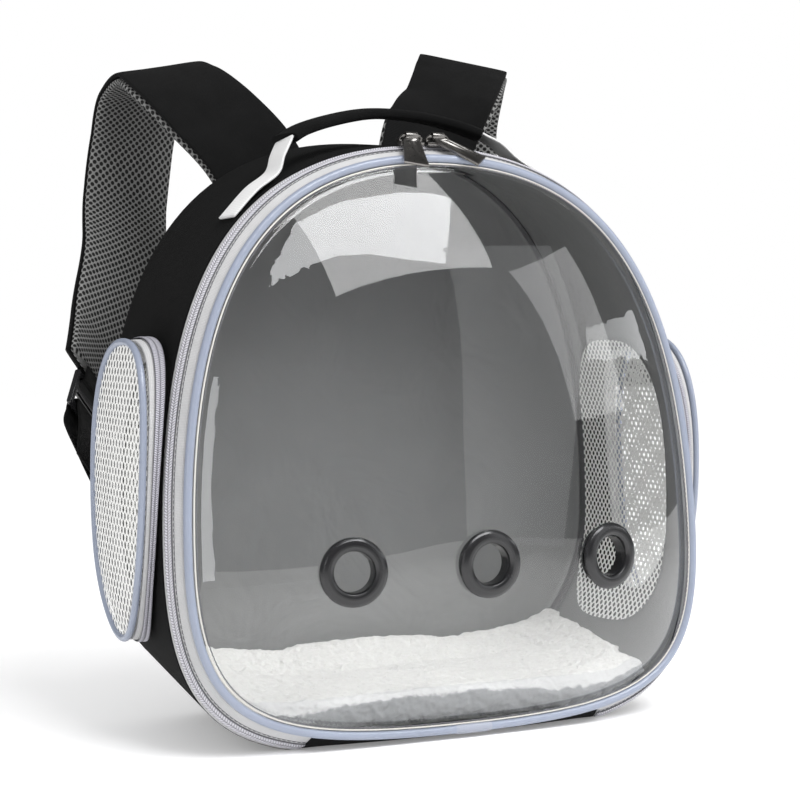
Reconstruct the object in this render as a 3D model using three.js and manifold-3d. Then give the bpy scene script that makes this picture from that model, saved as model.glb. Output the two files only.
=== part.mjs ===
// Small animal carrier backpack: a hollow arched cloth body with a clear bulged window in its zipped
// front, netted side pockets, a plush mat, a top handle and two padded shoulder straps.
// Millimetres, +Z up, front towards -Y, +X to the right. The origin is the middle of the base.
import * as THREE from "three";
import { mergeVertices } from "three/addons/utils/BufferGeometryUtils.js";
import Module from "manifold-3d";

const wasm = await Module();
wasm.setup();

// Driving dimensions
const clearance = 0.3;
const loopSteps = 36;

const arch = { shoulderUp: 0.694, shoulderIn: 0.674 };
const rim = {
  halfWidth: 175.5, bottom: 6, top: 356, widest: 117, out: 0.75, up: 0.125, front: -80, lean: 5,
};
const door = {
  depth: 20, flare: 8.5, crown: 1.8, cloth: 1.6, overhang: 1.5, setBack: 0.1,
  chainWidth: 7.3, chainAt: 0.56, chainThick: 1.2, chainLift: 0.5,
};
const piping = { radius: 2.6, sides: 6 };
const hinge = { halfLength: 99.5, gapShare: 0.0004, steps: 8 };
const shell = { wall: 2.5, back: 75, edge: 8, backHalfWidth: 181, backTop: 374, backWidest: 122 };
const lining = { wall: 1 };
const dome = { bulge: 40, flange: 1.6, flangeShare: 0.975, power: 3, sheet: 1.6, centre: 150 };
const grommet = {
  bore: 12, outer: 20.7, neck: 14, back: 18, ring: 4.4, crest: 17.4, lip: 2.6, shoulder: 2.4, depth: 6,
  clip: 1.4, holeGap: 0.5, spread: 87.5, height: 108, sides: 12,
};
const mat = {
  halfLength: 150, thick: 18, front: -60, rear: 70, curl: 20, curlFrom: 32, ease: 2.3,
  edge: 4, edgeHeight: 0.7, taper: 0.5,
};
const backPad = { halfWidth: 146, bottom: 34, top: 296, widest: 130, thick: 12, edge: 7 };
const pocket = {
  centre: -1, halfWidth: 47, bottom: 64, top: 245, widest: 172, stand: 9.5, bulge: 0.8, neck: 8,
  flatter: 0.5, cloth: 1.6, chainWidth: 4.6, chainThick: 1.2, chainLift: 0.5, piping: 2.2, steps: 22,
  net: 1.4, neckOut: 1.3, bellyShare: 0.4,
};
const window = { front: -33, rear: 64, bottom: 52, top: 240, corner: 3.2, steps: 20, netGap: 1.2 };
const net = { holeWidth: 8, holeHeight: 14, pitchWidth: 16, pitchHeight: 20 };
const slider = {
  length: 16, width: 9, body: 2.6, wire: 1.8, knuckle: 2.6, bore: 1.6, knuckleWidth: 8, corner: 2,
  left: -14.9, right: 3.2,
};
const pocketSlider = {
  height: 202, length: 11, width: 8, body: 2.4, open: 3, frame: 7.4, window: 1.5, corner: 1.2,
  offset: 2, rail: 1.8, waistTop: 7, waistLow: 16, foot: 2,
};
const pull = { length: 31, thick: 1.6, sheet: 1.2, bar: 0.9, restGap: 0.2 };
const bury = 0.8;
const strap = { width: 65, cover: 3.5, mesh: 6, spread: 175, reach: 105, peak: 430, steps: 20 };
const handle = {
  width: 20, webbing: 1.8, grip: 7, gripWidth: 24, spread: 131, loop: 20.5, back: 20,
  gripFrom: 4, gripTo: 11, gripTuck: 2, behindZip: 1,
};
const webbing = { width: 28, thick: 1.6, slack: 0.4 };
const lowerStrap = { sewnOut: 160, sewnUp: 112, sewnBack: 1.3, riseOut: 166, riseUp: 146, riseBack: 8 };
const tail = { lead: 14, kink: 18, end: 40, kinkOut: 6, endOut: 10 };
const lock = { width: 38, height: 27, bar: 4, thick: 3.6 };

const fabric = {
  black: [0x141416, 0.9, 0], grey: [0x8f9092, 0.9, 0], lilac: [0xcfcdd2, 0.85, 0],
  blue: [0xa5afca, 0.6, 0], white: [0xf2f2ee, 0.95, 0], clear: [0xdfe3e6, 0.08, 0],
  gloss: [0x1b1c1c, 0.25, 0], metal: [0x4a4846, 0.3, 0.9], net: [0xe9e8e2, 0.9, 0],
};
const materials = {};
for (const [name, [color, roughness, metalness]] of Object.entries(fabric)) {
  materials[name] = new THREE.MeshStandardMaterial({ color, roughness, metalness });
}

const object = new THREE.Group();
const { lerp, degToRad } = THREE.MathUtils;
const V = (x, y, z) => new THREE.Vector3(x, y, z);
const sides = { left: -1, right: 1 };

function add(name, geometry, material, parent = object) {
  const mesh = new THREE.Mesh(geometry, materials[material]);
  mesh.name = name;
  parent.add(mesh);
  return mesh;
}

// Makes one closed indexed surface that faces outwards.
function closedSurface(positions, faces) {
  let geometry = new THREE.BufferGeometry();
  geometry.setAttribute("position", new THREE.Float32BufferAttribute(positions, 3));
  geometry.setIndex(faces);
  geometry = mergeVertices(geometry, 1e-3);
  const place = geometry.attributes.position;
  const [a, b, c] = [V(), V(), V()];
  const kept = [];
  let volume = 0;
  for (let i = 0; i < geometry.index.count; i += 3) {
    const corner = [0, 1, 2].map((k) => geometry.index.getX(i + k));
    if (new Set(corner).size < 3) continue;
    kept.push(corner);
    [a, b, c].forEach((v, k) => v.fromBufferAttribute(place, corner[k]));
    volume += a.dot(b.cross(c));
  }
  geometry.setIndex(kept.flatMap(([p, q, r]) => (volume < 0 ? [p, r, q] : [p, q, r])));
  return geometry;
}

// Joins rings of points into a solid. A ring's first half is one face of the wall and its second half,
// in reverse order, the other face. Both faces are split along the same diagonals.
function loft(rings, closed = false) {
  const size = rings[0].length;
  const last = rings.length - 1;
  const faces = [];
  const quad = (a, b, c, d) => faces.push(a, b, c, a, c, d);
  for (let i = 0; i < (closed ? rings.length : last); i++) {
    const next = (i + 1) % rings.length;
    for (let j = 0; j < size; j++) {
      const k = (j + 1) % size;
      const corners = [i * size + j, i * size + k, next * size + k, next * size + j];
      if (j >= size / 2) corners.push(corners.shift());
      quad(...corners);
    }
  }
  for (let k = 0; !closed && k < size / 2 - 1; k++) {
    const end = last * size;
    quad(k + 1, k, size - 1 - k, size - 2 - k);
    quad(end + k, end + k + 1, end + size - 2 - k, end + size - 1 - k);
  }
  return closedSurface(rings.flat().flatMap((p) => [p.x, p.y, p.z]), faces);
}

const wallRing = (outer, inner) => [...outer, ...[...inner].reverse()];

// A geometry as a solid that can be joined or cut, and back.
function solid(geometry, matrix) {
  const bare = new THREE.BufferGeometry();
  bare.setAttribute("position", geometry.attributes.position.clone());
  if (geometry.index) bare.setIndex(geometry.index.clone());
  if (matrix) bare.applyMatrix4(matrix);
  const merged = mergeVertices(bare, 1e-3);
  return new wasm.Manifold(
    new wasm.Mesh({
      numProp: 3,
      vertProperties: new Float32Array(merged.attributes.position.array),
      triVerts: new Uint32Array(merged.index.array),
    }),
  );
}

function surfaceOf(made) {
  const { vertProperties, triVerts } = made.getMesh();
  const geometry = new THREE.BufferGeometry();
  geometry.setAttribute("position", new THREE.BufferAttribute(new Float32Array(vertProperties), 3));
  geometry.setIndex(new THREE.BufferAttribute(new Uint32Array(triVerts), 1));
  return geometry;
}

// An outline with a round lower corner and arched shoulders, from its lowest point up its right side.
function archOutline({ halfWidth, bottom, top, widest, out, up }, floor = -Infinity) {
  const path = new THREE.Path();
  const rise = top - widest;
  const low = bottom + up * (widest - bottom);
  const shoulder = widest + arch.shoulderUp * rise;
  path.moveTo(0, bottom);
  path.bezierCurveTo(out * halfWidth, bottom, halfWidth, low, halfWidth, widest);
  path.bezierCurveTo(halfWidth, shoulder, arch.shoulderIn * halfWidth, top, 0, top);
  path.bezierCurveTo(-arch.shoulderIn * halfWidth, top, -halfWidth, shoulder, -halfWidth, widest);
  path.bezierCurveTo(-halfWidth, low, -out * halfWidth, bottom, 0, bottom);
  return { path, floor };
}

// A point of an outline at a share of its length, moved inwards.
function outlinePoint({ path, floor }, share, inset = 0) {
  const at = ((share % 1) + 1) % 1;
  const point = path.getPointAt(at);
  const along = path.getTangentAt(at);
  if (point.y < floor) {
    point.y = floor;
    along.set(1, 0);
  }
  return new THREE.Vector2(point.x - along.y * inset, point.y + along.x * inset);
}

const rimOutline = archOutline(rim);
const sunk = -door.flare;
const frontOutline = archOutline(
  { ...rim, halfWidth: rim.halfWidth + door.flare, bottom: sunk, top: rim.top + door.flare }, 0,
);
const backOutline = archOutline(
  {
    halfWidth: shell.backHalfWidth, bottom: sunk, top: shell.backTop, widest: shell.backWidest,
    out: 0.5, up: 0.3,
  }, 0,
);

const leanRise = Math.tan(degToRad(rim.lean));
const rimY = (z) => rim.front + (z - rim.bottom) * leanRise;
const frontY = (z) => rimY(z) + door.depth;

// A point of the body's cloth at a share of its depth, 0 at the zip and 1 at the back.
function bodyPoint(share, depth, inset = 0) {
  const front = outlinePoint(frontOutline, share, inset);
  const back = outlinePoint(backOutline, share, inset);
  const x = lerp(front.x, back.x, depth);
  const z = lerp(front.y, back.y, depth);
  return V(x, lerp(frontY(front.y), shell.back, depth), z);
}

// One side of the cloth body, from its front edge round the back edge to the middle of the back.
function bodyProfile(share, inset) {
  const edgeDepth = 1 - shell.edge / (shell.back - frontY(rim.widest));
  const back = shell.back - inset;
  const rounded = outlinePoint(backOutline, share, Math.max(shell.edge, inset));
  const rows = [0, edgeDepth].map((depth) => bodyPoint(share, depth, inset));
  const middle = V(0, back, (rim.bottom + shell.backTop) / 2);
  return [...rows, V(rounded.x, back, rounded.y), middle];
}

const loopShares = Array.from({ length: loopSteps }, (_, i) => i / loopSteps);

function cupSolid(outerInset, thickness) {
  const rings = loopShares.map((share) =>
    wallRing(bodyProfile(share, outerInset), bodyProfile(share, outerInset + thickness)),
  );
  return solid(loft(rings, true));
}

// Half the body's width at a place on its side wall, as its facets have it.
function halfWidthAt(y, z, inset = 0) {
  const depth = THREE.MathUtils.clamp((y - frontY(z)) / (shell.back - frontY(z)), 0, 1);
  const half = loopSteps / 2;
  const rows = Array.from({ length: half + 1 }, (_, i) => bodyPoint(i / loopSteps, depth, inset));
  for (let i = 0; i < half; i++) {
    const [a, b] = [rows[i], rows[i + 1]];
    if (z >= a.z && z <= b.z && b.z > a.z) return lerp(a.x, b.x, (z - a.z) / (b.z - a.z));
  }
  return rows[Math.round(half / 2)].x;
}

const sideWidth = halfWidthAt(0, rim.widest);

// The side pocket's outline in Y and Z, moved inwards.
const pocketOutline = archOutline({ ...pocket, out: 0.5, up: 0.3 });
function pocketPoint(share, inset = 0) {
  const point = outlinePoint(pocketOutline, share, inset);
  return new THREE.Vector2(point.x + pocket.centre, point.y);
}

// The lining's side window in Y and Z: a rectangle with rounded corners, as a superellipse.
function windowPoint(share, inset = 0) {
  const angle = share * 2 * Math.PI;
  const power = 2 / window.corner;
  const bend = (v) => Math.sign(v) * Math.abs(v) ** power;
  const halfY = (window.rear - window.front) / 2 - inset;
  const halfZ = (window.top - window.bottom) / 2 - inset;
  return new THREE.Vector2(
    (window.rear + window.front) / 2 + halfY * bend(Math.cos(angle)),
    (window.top + window.bottom) / 2 + halfZ * bend(Math.sin(angle)),
  );
}

const sharesOf = (steps) => Array.from({ length: steps }, (_, i) => i / steps);

// A prism along X with an outline in Y and Z, through one side wall.
function sidePrism(pointAt, steps, side) {
  const shape = new THREE.Shape(sharesOf(steps).map((share) => pointAt(share)));
  const reach = rim.halfWidth;
  const prism = new THREE.ExtrudeGeometry(shape, { depth: reach / 2, bevelEnabled: false });
  const cyclic = new THREE.Matrix4().makeBasis(V(0, 1, 0), V(0, 0, 1), V(1, 0, 0));
  const start = side > 0 ? reach * 0.7 : -reach * 1.2;
  return solid(prism, new THREE.Matrix4().makeTranslation(start, 0, 0).multiply(cyclic));
}

// Body: the cloth shell and its lining, each with a window in both sides
let shellSolid = cupSolid(0, shell.wall);
let liningSolid = cupSolid(shell.wall + clearance, lining.wall);
for (const side of Object.values(sides)) {
  const neck = (share) => pocketPoint(share, pocket.neck - clearance);
  shellSolid = shellSolid.subtract(sidePrism(neck, pocket.steps, side));
  liningSolid = liningSolid.subtract(sidePrism((share) => windowPoint(share), window.steps, side));
}
add("shell", surfaceOf(shellSolid), "black");
add("lining", surfaceOf(liningSolid), "grey");

// Back pad: a crowned panel on the outside of the back
const backPadOutline = archOutline({ ...backPad, out: 0.75, up: 0.3 });
const backPadRings = sharesOf(24).map((share) => {
  const low = shell.back + clearance;
  const high = low + backPad.thick;
  const flat = (inset, y) => {
    const point = outlinePoint(backPadOutline, share, inset);
    return V(point.x, y, point.y);
  };
  const middle = (backPad.bottom + backPad.top) / 2;
  return [
    V(0, high, middle), flat(backPad.edge, high), flat(0, high - backPad.edge),
    flat(0, low), flat(backPad.edge, low), V(0, low, middle),
  ];
});
add("back_pad", loft(backPadRings, true), "black");

// Mat: a plush pad that follows the curved floor and curls up at the back
const liningInset = shell.wall + clearance + lining.wall;

// The height of a row of points at a distance from the middle.
function heightOver(rows, x) {
  const next = Math.max(rows.findIndex((point) => point.x > Math.abs(x)), 1);
  const [a, b] = [rows[next - 1], rows[next]];
  return lerp(a.z, b.z, (Math.abs(x) - a.x) / (b.x - a.x));
}
function floorHeight(x, y) {
  const depth = THREE.MathUtils.clamp((y - frontY(0)) / (shell.back - frontY(0)), 0, 1);
  const half = loopSteps / 2;
  const rows = Array.from({ length: half }, (_, i) => bodyPoint(i / loopSteps, depth, liningInset));
  return heightOver(rows, x);
}
const matSteps = 14;
const matRings = Array.from({ length: matSteps + 1 }, (_, i) => {
  const x = lerp(-mat.halfLength, mat.halfLength, i / matSteps);
  const out = Math.abs(x) / mat.halfLength;
  const body = mat.thick * (1 - mat.taper * out ** 4);
  const curl = mat.curl * (1 - out ** 2);
  const row = (lift, pinch) => [
    [mat.front + pinch, 0], [mat.curlFrom, 0], [mat.rear - pinch - mat.ease, curl],
  ].map(([y, rise]) => V(x, y, floorHeight(x, y) + mat.ease + rise + lift));
  const [top, bottom] = [row(body, mat.edge), row(0, 0)];
  const [front, rear] = [bottom[0], bottom[2]].map((p) => V(x, p.y, p.z + body * mat.edgeHeight));
  return wallRing([front, ...top, rear], [bottom[0], bottom[0], bottom[1], bottom[2], bottom[2]]);
});
add("floor_pad", loft(matRings), "white");

// Door: the zip band that closes the front, its chain, the cloth hinge under it and the piping
function bandPoint(share, across, inset = 0) {
  const rimPoint = outlinePoint(rimOutline, share, inset - door.overhang);
  const bodyEdge = bodyPoint(share, 0, clearance + inset);
  const crown = -4 * across * (1 - across) * door.crown;
  const crowned = outlinePoint(rimOutline, share, crown).sub(outlinePoint(rimOutline, share, 0));
  const start = V(rimPoint.x, rimY(rimPoint.y) + piping.radius + clearance / 2, rimPoint.y);
  const end = bodyEdge.add(V(0, -clearance - door.setBack, 0));
  return start.lerp(end, across).add(V(crowned.x, 0, crowned.y));
}
function bandRing(share, acrosses, low, high) {
  return wallRing(
    acrosses.map((across) => bandPoint(share, across, -high)),
    acrosses.map((across) => bandPoint(share, across, -low)),
  );
}
let hingeShare = 0;
while (rimOutline.path.getPointAt(hingeShare).x < hinge.halfLength) hingeShare += 0.0005;
const bandSteps = 30;
const evenly = (from, to, steps) =>
  Array.from({ length: steps + 1 }, (_, i) => lerp(from, to, i / steps));
const bandShares = evenly(hingeShare, 1 - hingeShare, bandSteps);
const bandRows = [0, 0.5, 1];
const chainHalf = door.chainWidth / door.depth / 2;
const chainRows = [door.chainAt - chainHalf, door.chainAt + chainHalf];
const chainTop = door.chainLift + door.chainThick;
const bandAlong = (shares, rows, low, high) => loft(shares.map((s) => bandRing(s, rows, low, high)));
add("door_zip_band", bandAlong(bandShares, bandRows, -door.cloth, 0), "lilac");
add("door_zip_chain", bandAlong(bandShares, chainRows, door.chainLift, chainTop), "lilac");
const hingeEnd = hingeShare - hinge.gapShare;
const hingeShares = evenly(-hingeEnd, hingeEnd, hinge.steps);
add("door_hinge_strip", bandAlong(hingeShares, bandRows, -door.cloth, 0), "black");

// A ring of points round a centre, for a tube that runs along a loop.
function tubeRing(centre, outwards, normal, radius, count) {
  return sharesOf(count).map((share) => {
    const angle = share * 2 * Math.PI;
    return centre.clone().addScaledVector(outwards, radius * Math.cos(angle))
      .addScaledVector(normal, radius * Math.sin(angle));
  });
}
const rimNormal = V(0, -Math.cos(degToRad(rim.lean)), Math.sin(degToRad(rim.lean)));
const rimPoint3 = (share, inset = 0) => {
  const point = outlinePoint(rimOutline, share, inset);
  return V(point.x, rimY(point.y), point.y);
};
const pipingRings = loopShares.map((share) => {
  const centre = rimPoint3(share);
  const outwards = rimPoint3(share, -1).sub(centre).normalize();
  return tubeRing(centre, outwards, rimNormal, piping.radius, piping.sides);
});
add("door_piping", loft(pipingRings, true), "blue");

// Dome: the clear window, bulged from its flat edge inside the piping
const domeInset = piping.radius + clearance * 2;
const domeCentre = V(0, rimY(dome.centre), dome.centre);
function domeHeight(ratio) {
  if (ratio > dome.flangeShare) return (dome.flange * (1 - ratio)) / (1 - dome.flangeShare);
  return dome.flange + dome.bulge * (1 - (ratio / dome.flangeShare) ** dome.power);
}
function domePoint(share, ratio, drop = 0) {
  const edge = rimPoint3(share, domeInset);
  return domeCentre.clone().lerp(edge, ratio).addScaledVector(rimNormal, domeHeight(ratio) - drop);
}
const domeRatios = [1, dome.flangeShare, 0.9, 0.76, 0.58, 0.36, 0];
const domeRings = loopShares.map((share) =>
  wallRing(
    domeRatios.map((ratio) => domePoint(share, ratio)),
    domeRatios.map((ratio) => domePoint(share, ratio, dome.sheet)),
  ),
);

// The dome's point in front of a place on the rim's plane.
function domeAt(x, z) {
  const place = V(x, rimY(z), z).sub(domeCentre);
  let best = 0;
  let ratio = 0;
  for (const share of sharesOf(720)) {
    const edge = rimPoint3(share, domeInset).sub(domeCentre);
    const match = edge.clone().normalize().dot(place.clone().normalize());
    if (match > best) [best, ratio] = [match, place.length() / edge.length()];
  }
  return domeCentre.clone().add(place).addScaledVector(rimNormal, domeHeight(ratio));
}

// Grommets: three rounded rings through the dome's vent holes
const grommetRear = -grommet.depth;
const clipFront = grommetRear + grommet.clip;
const grommetProfile = [
  [grommet.bore, grommetRear], [grommet.bore, grommet.lip], [grommet.neck, grommet.ring],
  [grommet.crest, grommet.ring], [grommet.outer, grommet.shoulder], [grommet.outer, clearance],
  [grommet.neck, clearance], [grommet.neck, clipFront], [grommet.back, clipFront],
  [grommet.back, grommetRear], [grommet.bore, grommetRear],
].map(([r, h]) => new THREE.Vector2(r, h)).reverse();
const grommets = { left: -grommet.spread, centre: 0, right: grommet.spread };
let domeSolid = solid(loft(domeRings, true));
const probe = 6;
for (const [name, x] of Object.entries(grommets)) {
  const centre = domeAt(x, grommet.height);
  const acrossX = domeAt(x + probe, grommet.height).sub(domeAt(x - probe, grommet.height));
  const acrossZ = domeAt(x, grommet.height + probe).sub(domeAt(x, grommet.height - probe));
  const facing = acrossX.cross(acrossZ).normalize();
  const turn = new THREE.Quaternion().setFromUnitVectors(V(0, 1, 0), facing);
  const place = new THREE.Matrix4().compose(centre, turn, V(1, 1, 1));
  const holeRadius = grommet.neck + grommet.holeGap;
  const hole = new THREE.CylinderGeometry(holeRadius, holeRadius, grommet.depth * 4, grommet.sides);
  domeSolid = domeSolid.subtract(solid(hole, place));
  const ring = add(`grommet_${name}`, new THREE.LatheGeometry(grommetProfile, grommet.sides), "gloss");
  ring.position.copy(centre);
  ring.quaternion.copy(turn);
}
add("dome_window", surfaceOf(domeSolid), "clear");

// A net panel in Y and Z with staggered holes, bent to follow the side wall.
function netPanel(pointAt, steps, thick, holeSides, columns, rows, centre, place) {
  const shape = new THREE.Shape(sharesOf(steps).map((share) => pointAt(share)));
  for (let row = 0; row < rows; row++) {
    for (let column = 0; column < columns - (row % 2); column++) {
      const y = centre.x + (column - (columns - 1 - (row % 2)) / 2) * net.pitchWidth;
      const z = centre.y + (row - (rows - 1) / 2) * net.pitchHeight;
      const corners = sharesOf(holeSides).map((share) => {
        const angle = -(share + 0.25) * 2 * Math.PI;
        return new THREE.Vector2(
          y + (net.holeWidth / 2) * Math.cos(angle), z + (net.holeHeight / 2) * Math.sin(angle),
        );
      });
      shape.holes.push(new THREE.Path(corners));
    }
  }
  const flat = new THREE.ExtrudeGeometry(shape, { depth: thick, bevelEnabled: false });
  const from = flat.attributes.position;
  const positions = [];
  for (let i = 0; i < from.count; i++) {
    const [y, z, out] = [from.getX(i), from.getY(i), from.getZ(i)];
    positions.push(...place(y, z, out).toArray());
  }
  return closedSurface(positions, Array.from({ length: from.count }, (_, i) => i));
}

// Side pockets: gusset, zip chain, piping, net face, and the lining's own net behind the opening
for (const [name, side] of Object.entries(sides)) {
  const place = (point, out) => {
    const wall = halfWidthAt(point.x, point.y);
    const proud = Math.max(out, 0) / pocket.stand;
    return V(side * (wall + out + pocket.flatter * proud * (sideWidth - wall)), point.x, point.y);
  };
  const gussetRows = [
    { out: clearance - shell.wall, inset: pocket.neck }, { out: pocket.neckOut, inset: pocket.neck },
    { out: pocket.stand * pocket.bellyShare, inset: -pocket.bulge }, { out: pocket.stand, inset: 0 },
  ];
  const rowPoints = (share, rows, extra) =>
    rows.map(({ out, inset }) => place(pocketPoint(share, inset + extra), out));
  const shares = sharesOf(pocket.steps);
  const gusset = shares.map((share) =>
    wallRing(rowPoints(share, gussetRows, 0), rowPoints(share, gussetRows, pocket.cloth)),
  );
  add(`pocket_gusset_${name}`, loft(gusset, true), "lilac");
  const chainMiddle = pocket.stand * 0.5;
  const inset = -pocket.bulge - pocket.chainLift;
  const chain = shares.map((share) => {
    const rows = [-0.5, 0.5].map((k) => ({ out: chainMiddle + k * pocket.chainWidth, inset }));
    return wallRing(rowPoints(share, rows, -pocket.chainThick), rowPoints(share, rows, 0));
  });
  add(`pocket_zip_chain_${name}`, loft(chain, true), "lilac");
  const cordOut = pocket.stand + pocket.piping + clearance;
  const cord = shares.map((share) => {
    const centre = place(pocketPoint(share, pocket.piping * 0.5), cordOut);
    const outer = place(pocketPoint(share, 0), cordOut);
    const outwards = outer.sub(centre).setX(0).normalize();
    return tubeRing(centre, outwards, V(side, 0, 0), pocket.piping, piping.sides);
  });
  add(`pocket_piping_${name}`, loft(cord, true), "blue");
  const netInset = pocket.piping * 1.5 + clearance * 2;
  const faceLow = cordOut - pocket.net / 2;
  const face = netPanel(
    (share) => pocketPoint(share, netInset), pocket.steps, pocket.net, 6, 4, 7,
    new THREE.Vector2(pocket.centre, (pocket.bottom + pocket.top) / 2 + 4),
    (y, z, out) => place(new THREE.Vector2(y, z), faceLow + out),
  );
  add(`pocket_net_${name}`, face, "net");
  const inner = netPanel(
    (share) => windowPoint(share, clearance), window.steps, lining.wall, 4, 5, 6,
    new THREE.Vector2((window.front + window.rear) / 2, (window.bottom + window.top) / 2),
    (y, z, out) => place(new THREE.Vector2(y, z), out - liningInset - window.netGap),
  );
  add(`inner_net_${name}`, inner, "net");
}

// A ribbon of cloth along a curve through stations. Each layer lies between two heights over it.
function ribbon(stations, steps, layer, round = false) {
  const route = new THREE.CatmullRomCurve3(stations.map(({ at }) => at), false, "centripetal");
  const rings = Array.from({ length: steps + 1 }, (_, i) => {
    const share = i / steps;
    const at = route.getPoint(share);
    const along = route.getTangent(share);
    const scaled = share * (stations.length - 1);
    const low = Math.min(Math.floor(scaled), stations.length - 2);
    const [a, b] = [stations[low], stations[low + 1]];
    const across = a.across.clone().lerp(b.across, scaled - low);
    across.addScaledVector(along, -across.dot(along)).normalize();
    const normal = along.clone().cross(across);
    const half = lerp(a.width, b.width, scaled - low) / 2;
    const corner = (u, v) =>
      at.clone().addScaledVector(across, u * half).addScaledVector(normal, v);
    const { low: under, high: over } = layer;
    const mid = (under + over) / 2;
    if (!round) return [corner(-1, over), corner(1, over), corner(1, under), corner(-1, under)];
    return [
      corner(-1, mid), corner(-0.7, over), corner(0.7, over), corner(1, mid),
      corner(0.7, under), corner(-0.7, under),
    ];
  });
  return loft(rings);
}

// Shoulder straps: where each one runs, as shares of its spread, reach and peak, from the back's top
// over the crest and down to its lower end. Turn and drop slant its width.
const strapRoutes = {
  left: [
    { out: 0.297, back: 0.051, up: 0.716, turn: 0, drop: 0 },
    { out: 0.32, back: 0.067, up: 0.779, turn: 0, drop: -6 },
    { out: 0.389, back: 0.162, up: 0.849, turn: 2, drop: -20 },
    { out: 0.491, back: 0.352, up: 0.912, turn: 4, drop: -24 },
    { out: 0.583, back: 0.6, up: 0.965, turn: 6, drop: -16 },
    { out: 0.617, back: 0.81, up: 0.984, turn: 9, drop: -11 },
    { out: 0.646, back: 1, up: 0.953, turn: 12, drop: -12 },
    { out: 0.669, back: 1.067, up: 0.879, turn: 16, drop: -11 },
    { out: 0.709, back: 1.019, up: 0.786, turn: 20, drop: -8 },
    { out: 0.743, back: 0.905, up: 0.712, turn: 24, drop: -8 },
    { out: 0.817, back: 0.762, up: 0.635, turn: 34, drop: -6 },
    { out: 0.903, back: 0.571, up: 0.558, turn: 40, drop: -4 },
    { out: 0.971, back: 0.429, up: 0.505, turn: 45, drop: 0 },
  ],
  right: [
    { out: 0.286, back: 0.051, up: 0.716, turn: 0, drop: 0 },
    { out: 0.309, back: 0.074, up: 0.786, turn: -3, drop: 0 },
    { out: 0.406, back: 0.235, up: 0.893, turn: -6, drop: -6 },
    { out: 0.543, back: 0.381, up: 0.956, turn: -22, drop: -7 },
    { out: 0.646, back: 0.571, up: 1, turn: -20, drop: 3 },
    { out: 0.714, back: 0.733, up: 1.019, turn: -20, drop: 12 },
    { out: 0.766, back: 0.943, up: 0.993, turn: -24, drop: 12 },
    { out: 0.766, back: 1.048, up: 0.919, turn: -27, drop: 8 },
    { out: 0.777, back: 1.029, up: 0.814, turn: -26, drop: 6 },
    { out: 0.789, back: 0.914, up: 0.712, turn: -27, drop: 6 },
    { out: 0.834, back: 0.762, up: 0.635, turn: -34, drop: 5 },
    { out: 0.903, back: 0.571, up: 0.558, turn: -40, drop: 3 },
    { out: 0.971, back: 0.429, up: 0.505, turn: -45, drop: 0 },
  ],
};
const strapEnd = {};
for (const [name, side] of Object.entries(sides)) {
  const stations = strapRoutes[name].map(({ out, back, up, turn, drop }) => ({
    at: V(side * out * strap.spread, shell.back + back * strap.reach, up * strap.peak),
    across: V(
      Math.cos(degToRad(turn)), Math.sin(degToRad(turn)), -Math.sin(degToRad(drop)),
    ),
    width: strap.width,
  }));
  const split = (strap.cover - strap.mesh) / 2;
  const half = clearance / 2;
  const cover = { low: split - strap.cover - half, high: split - half };
  const mesh = { low: split + half, high: split + half + strap.mesh };
  add(`strap_cover_${name}`, ribbon(stations, strap.steps, cover), "black");
  add(`strap_mesh_${name}`, ribbon(stations, strap.steps, mesh), "grey");
  const [before, last] = stations.slice(-2);
  strapEnd[name] = { at: last.at, along: last.at.clone().sub(before.at).normalize(), across: last.across };
}

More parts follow.
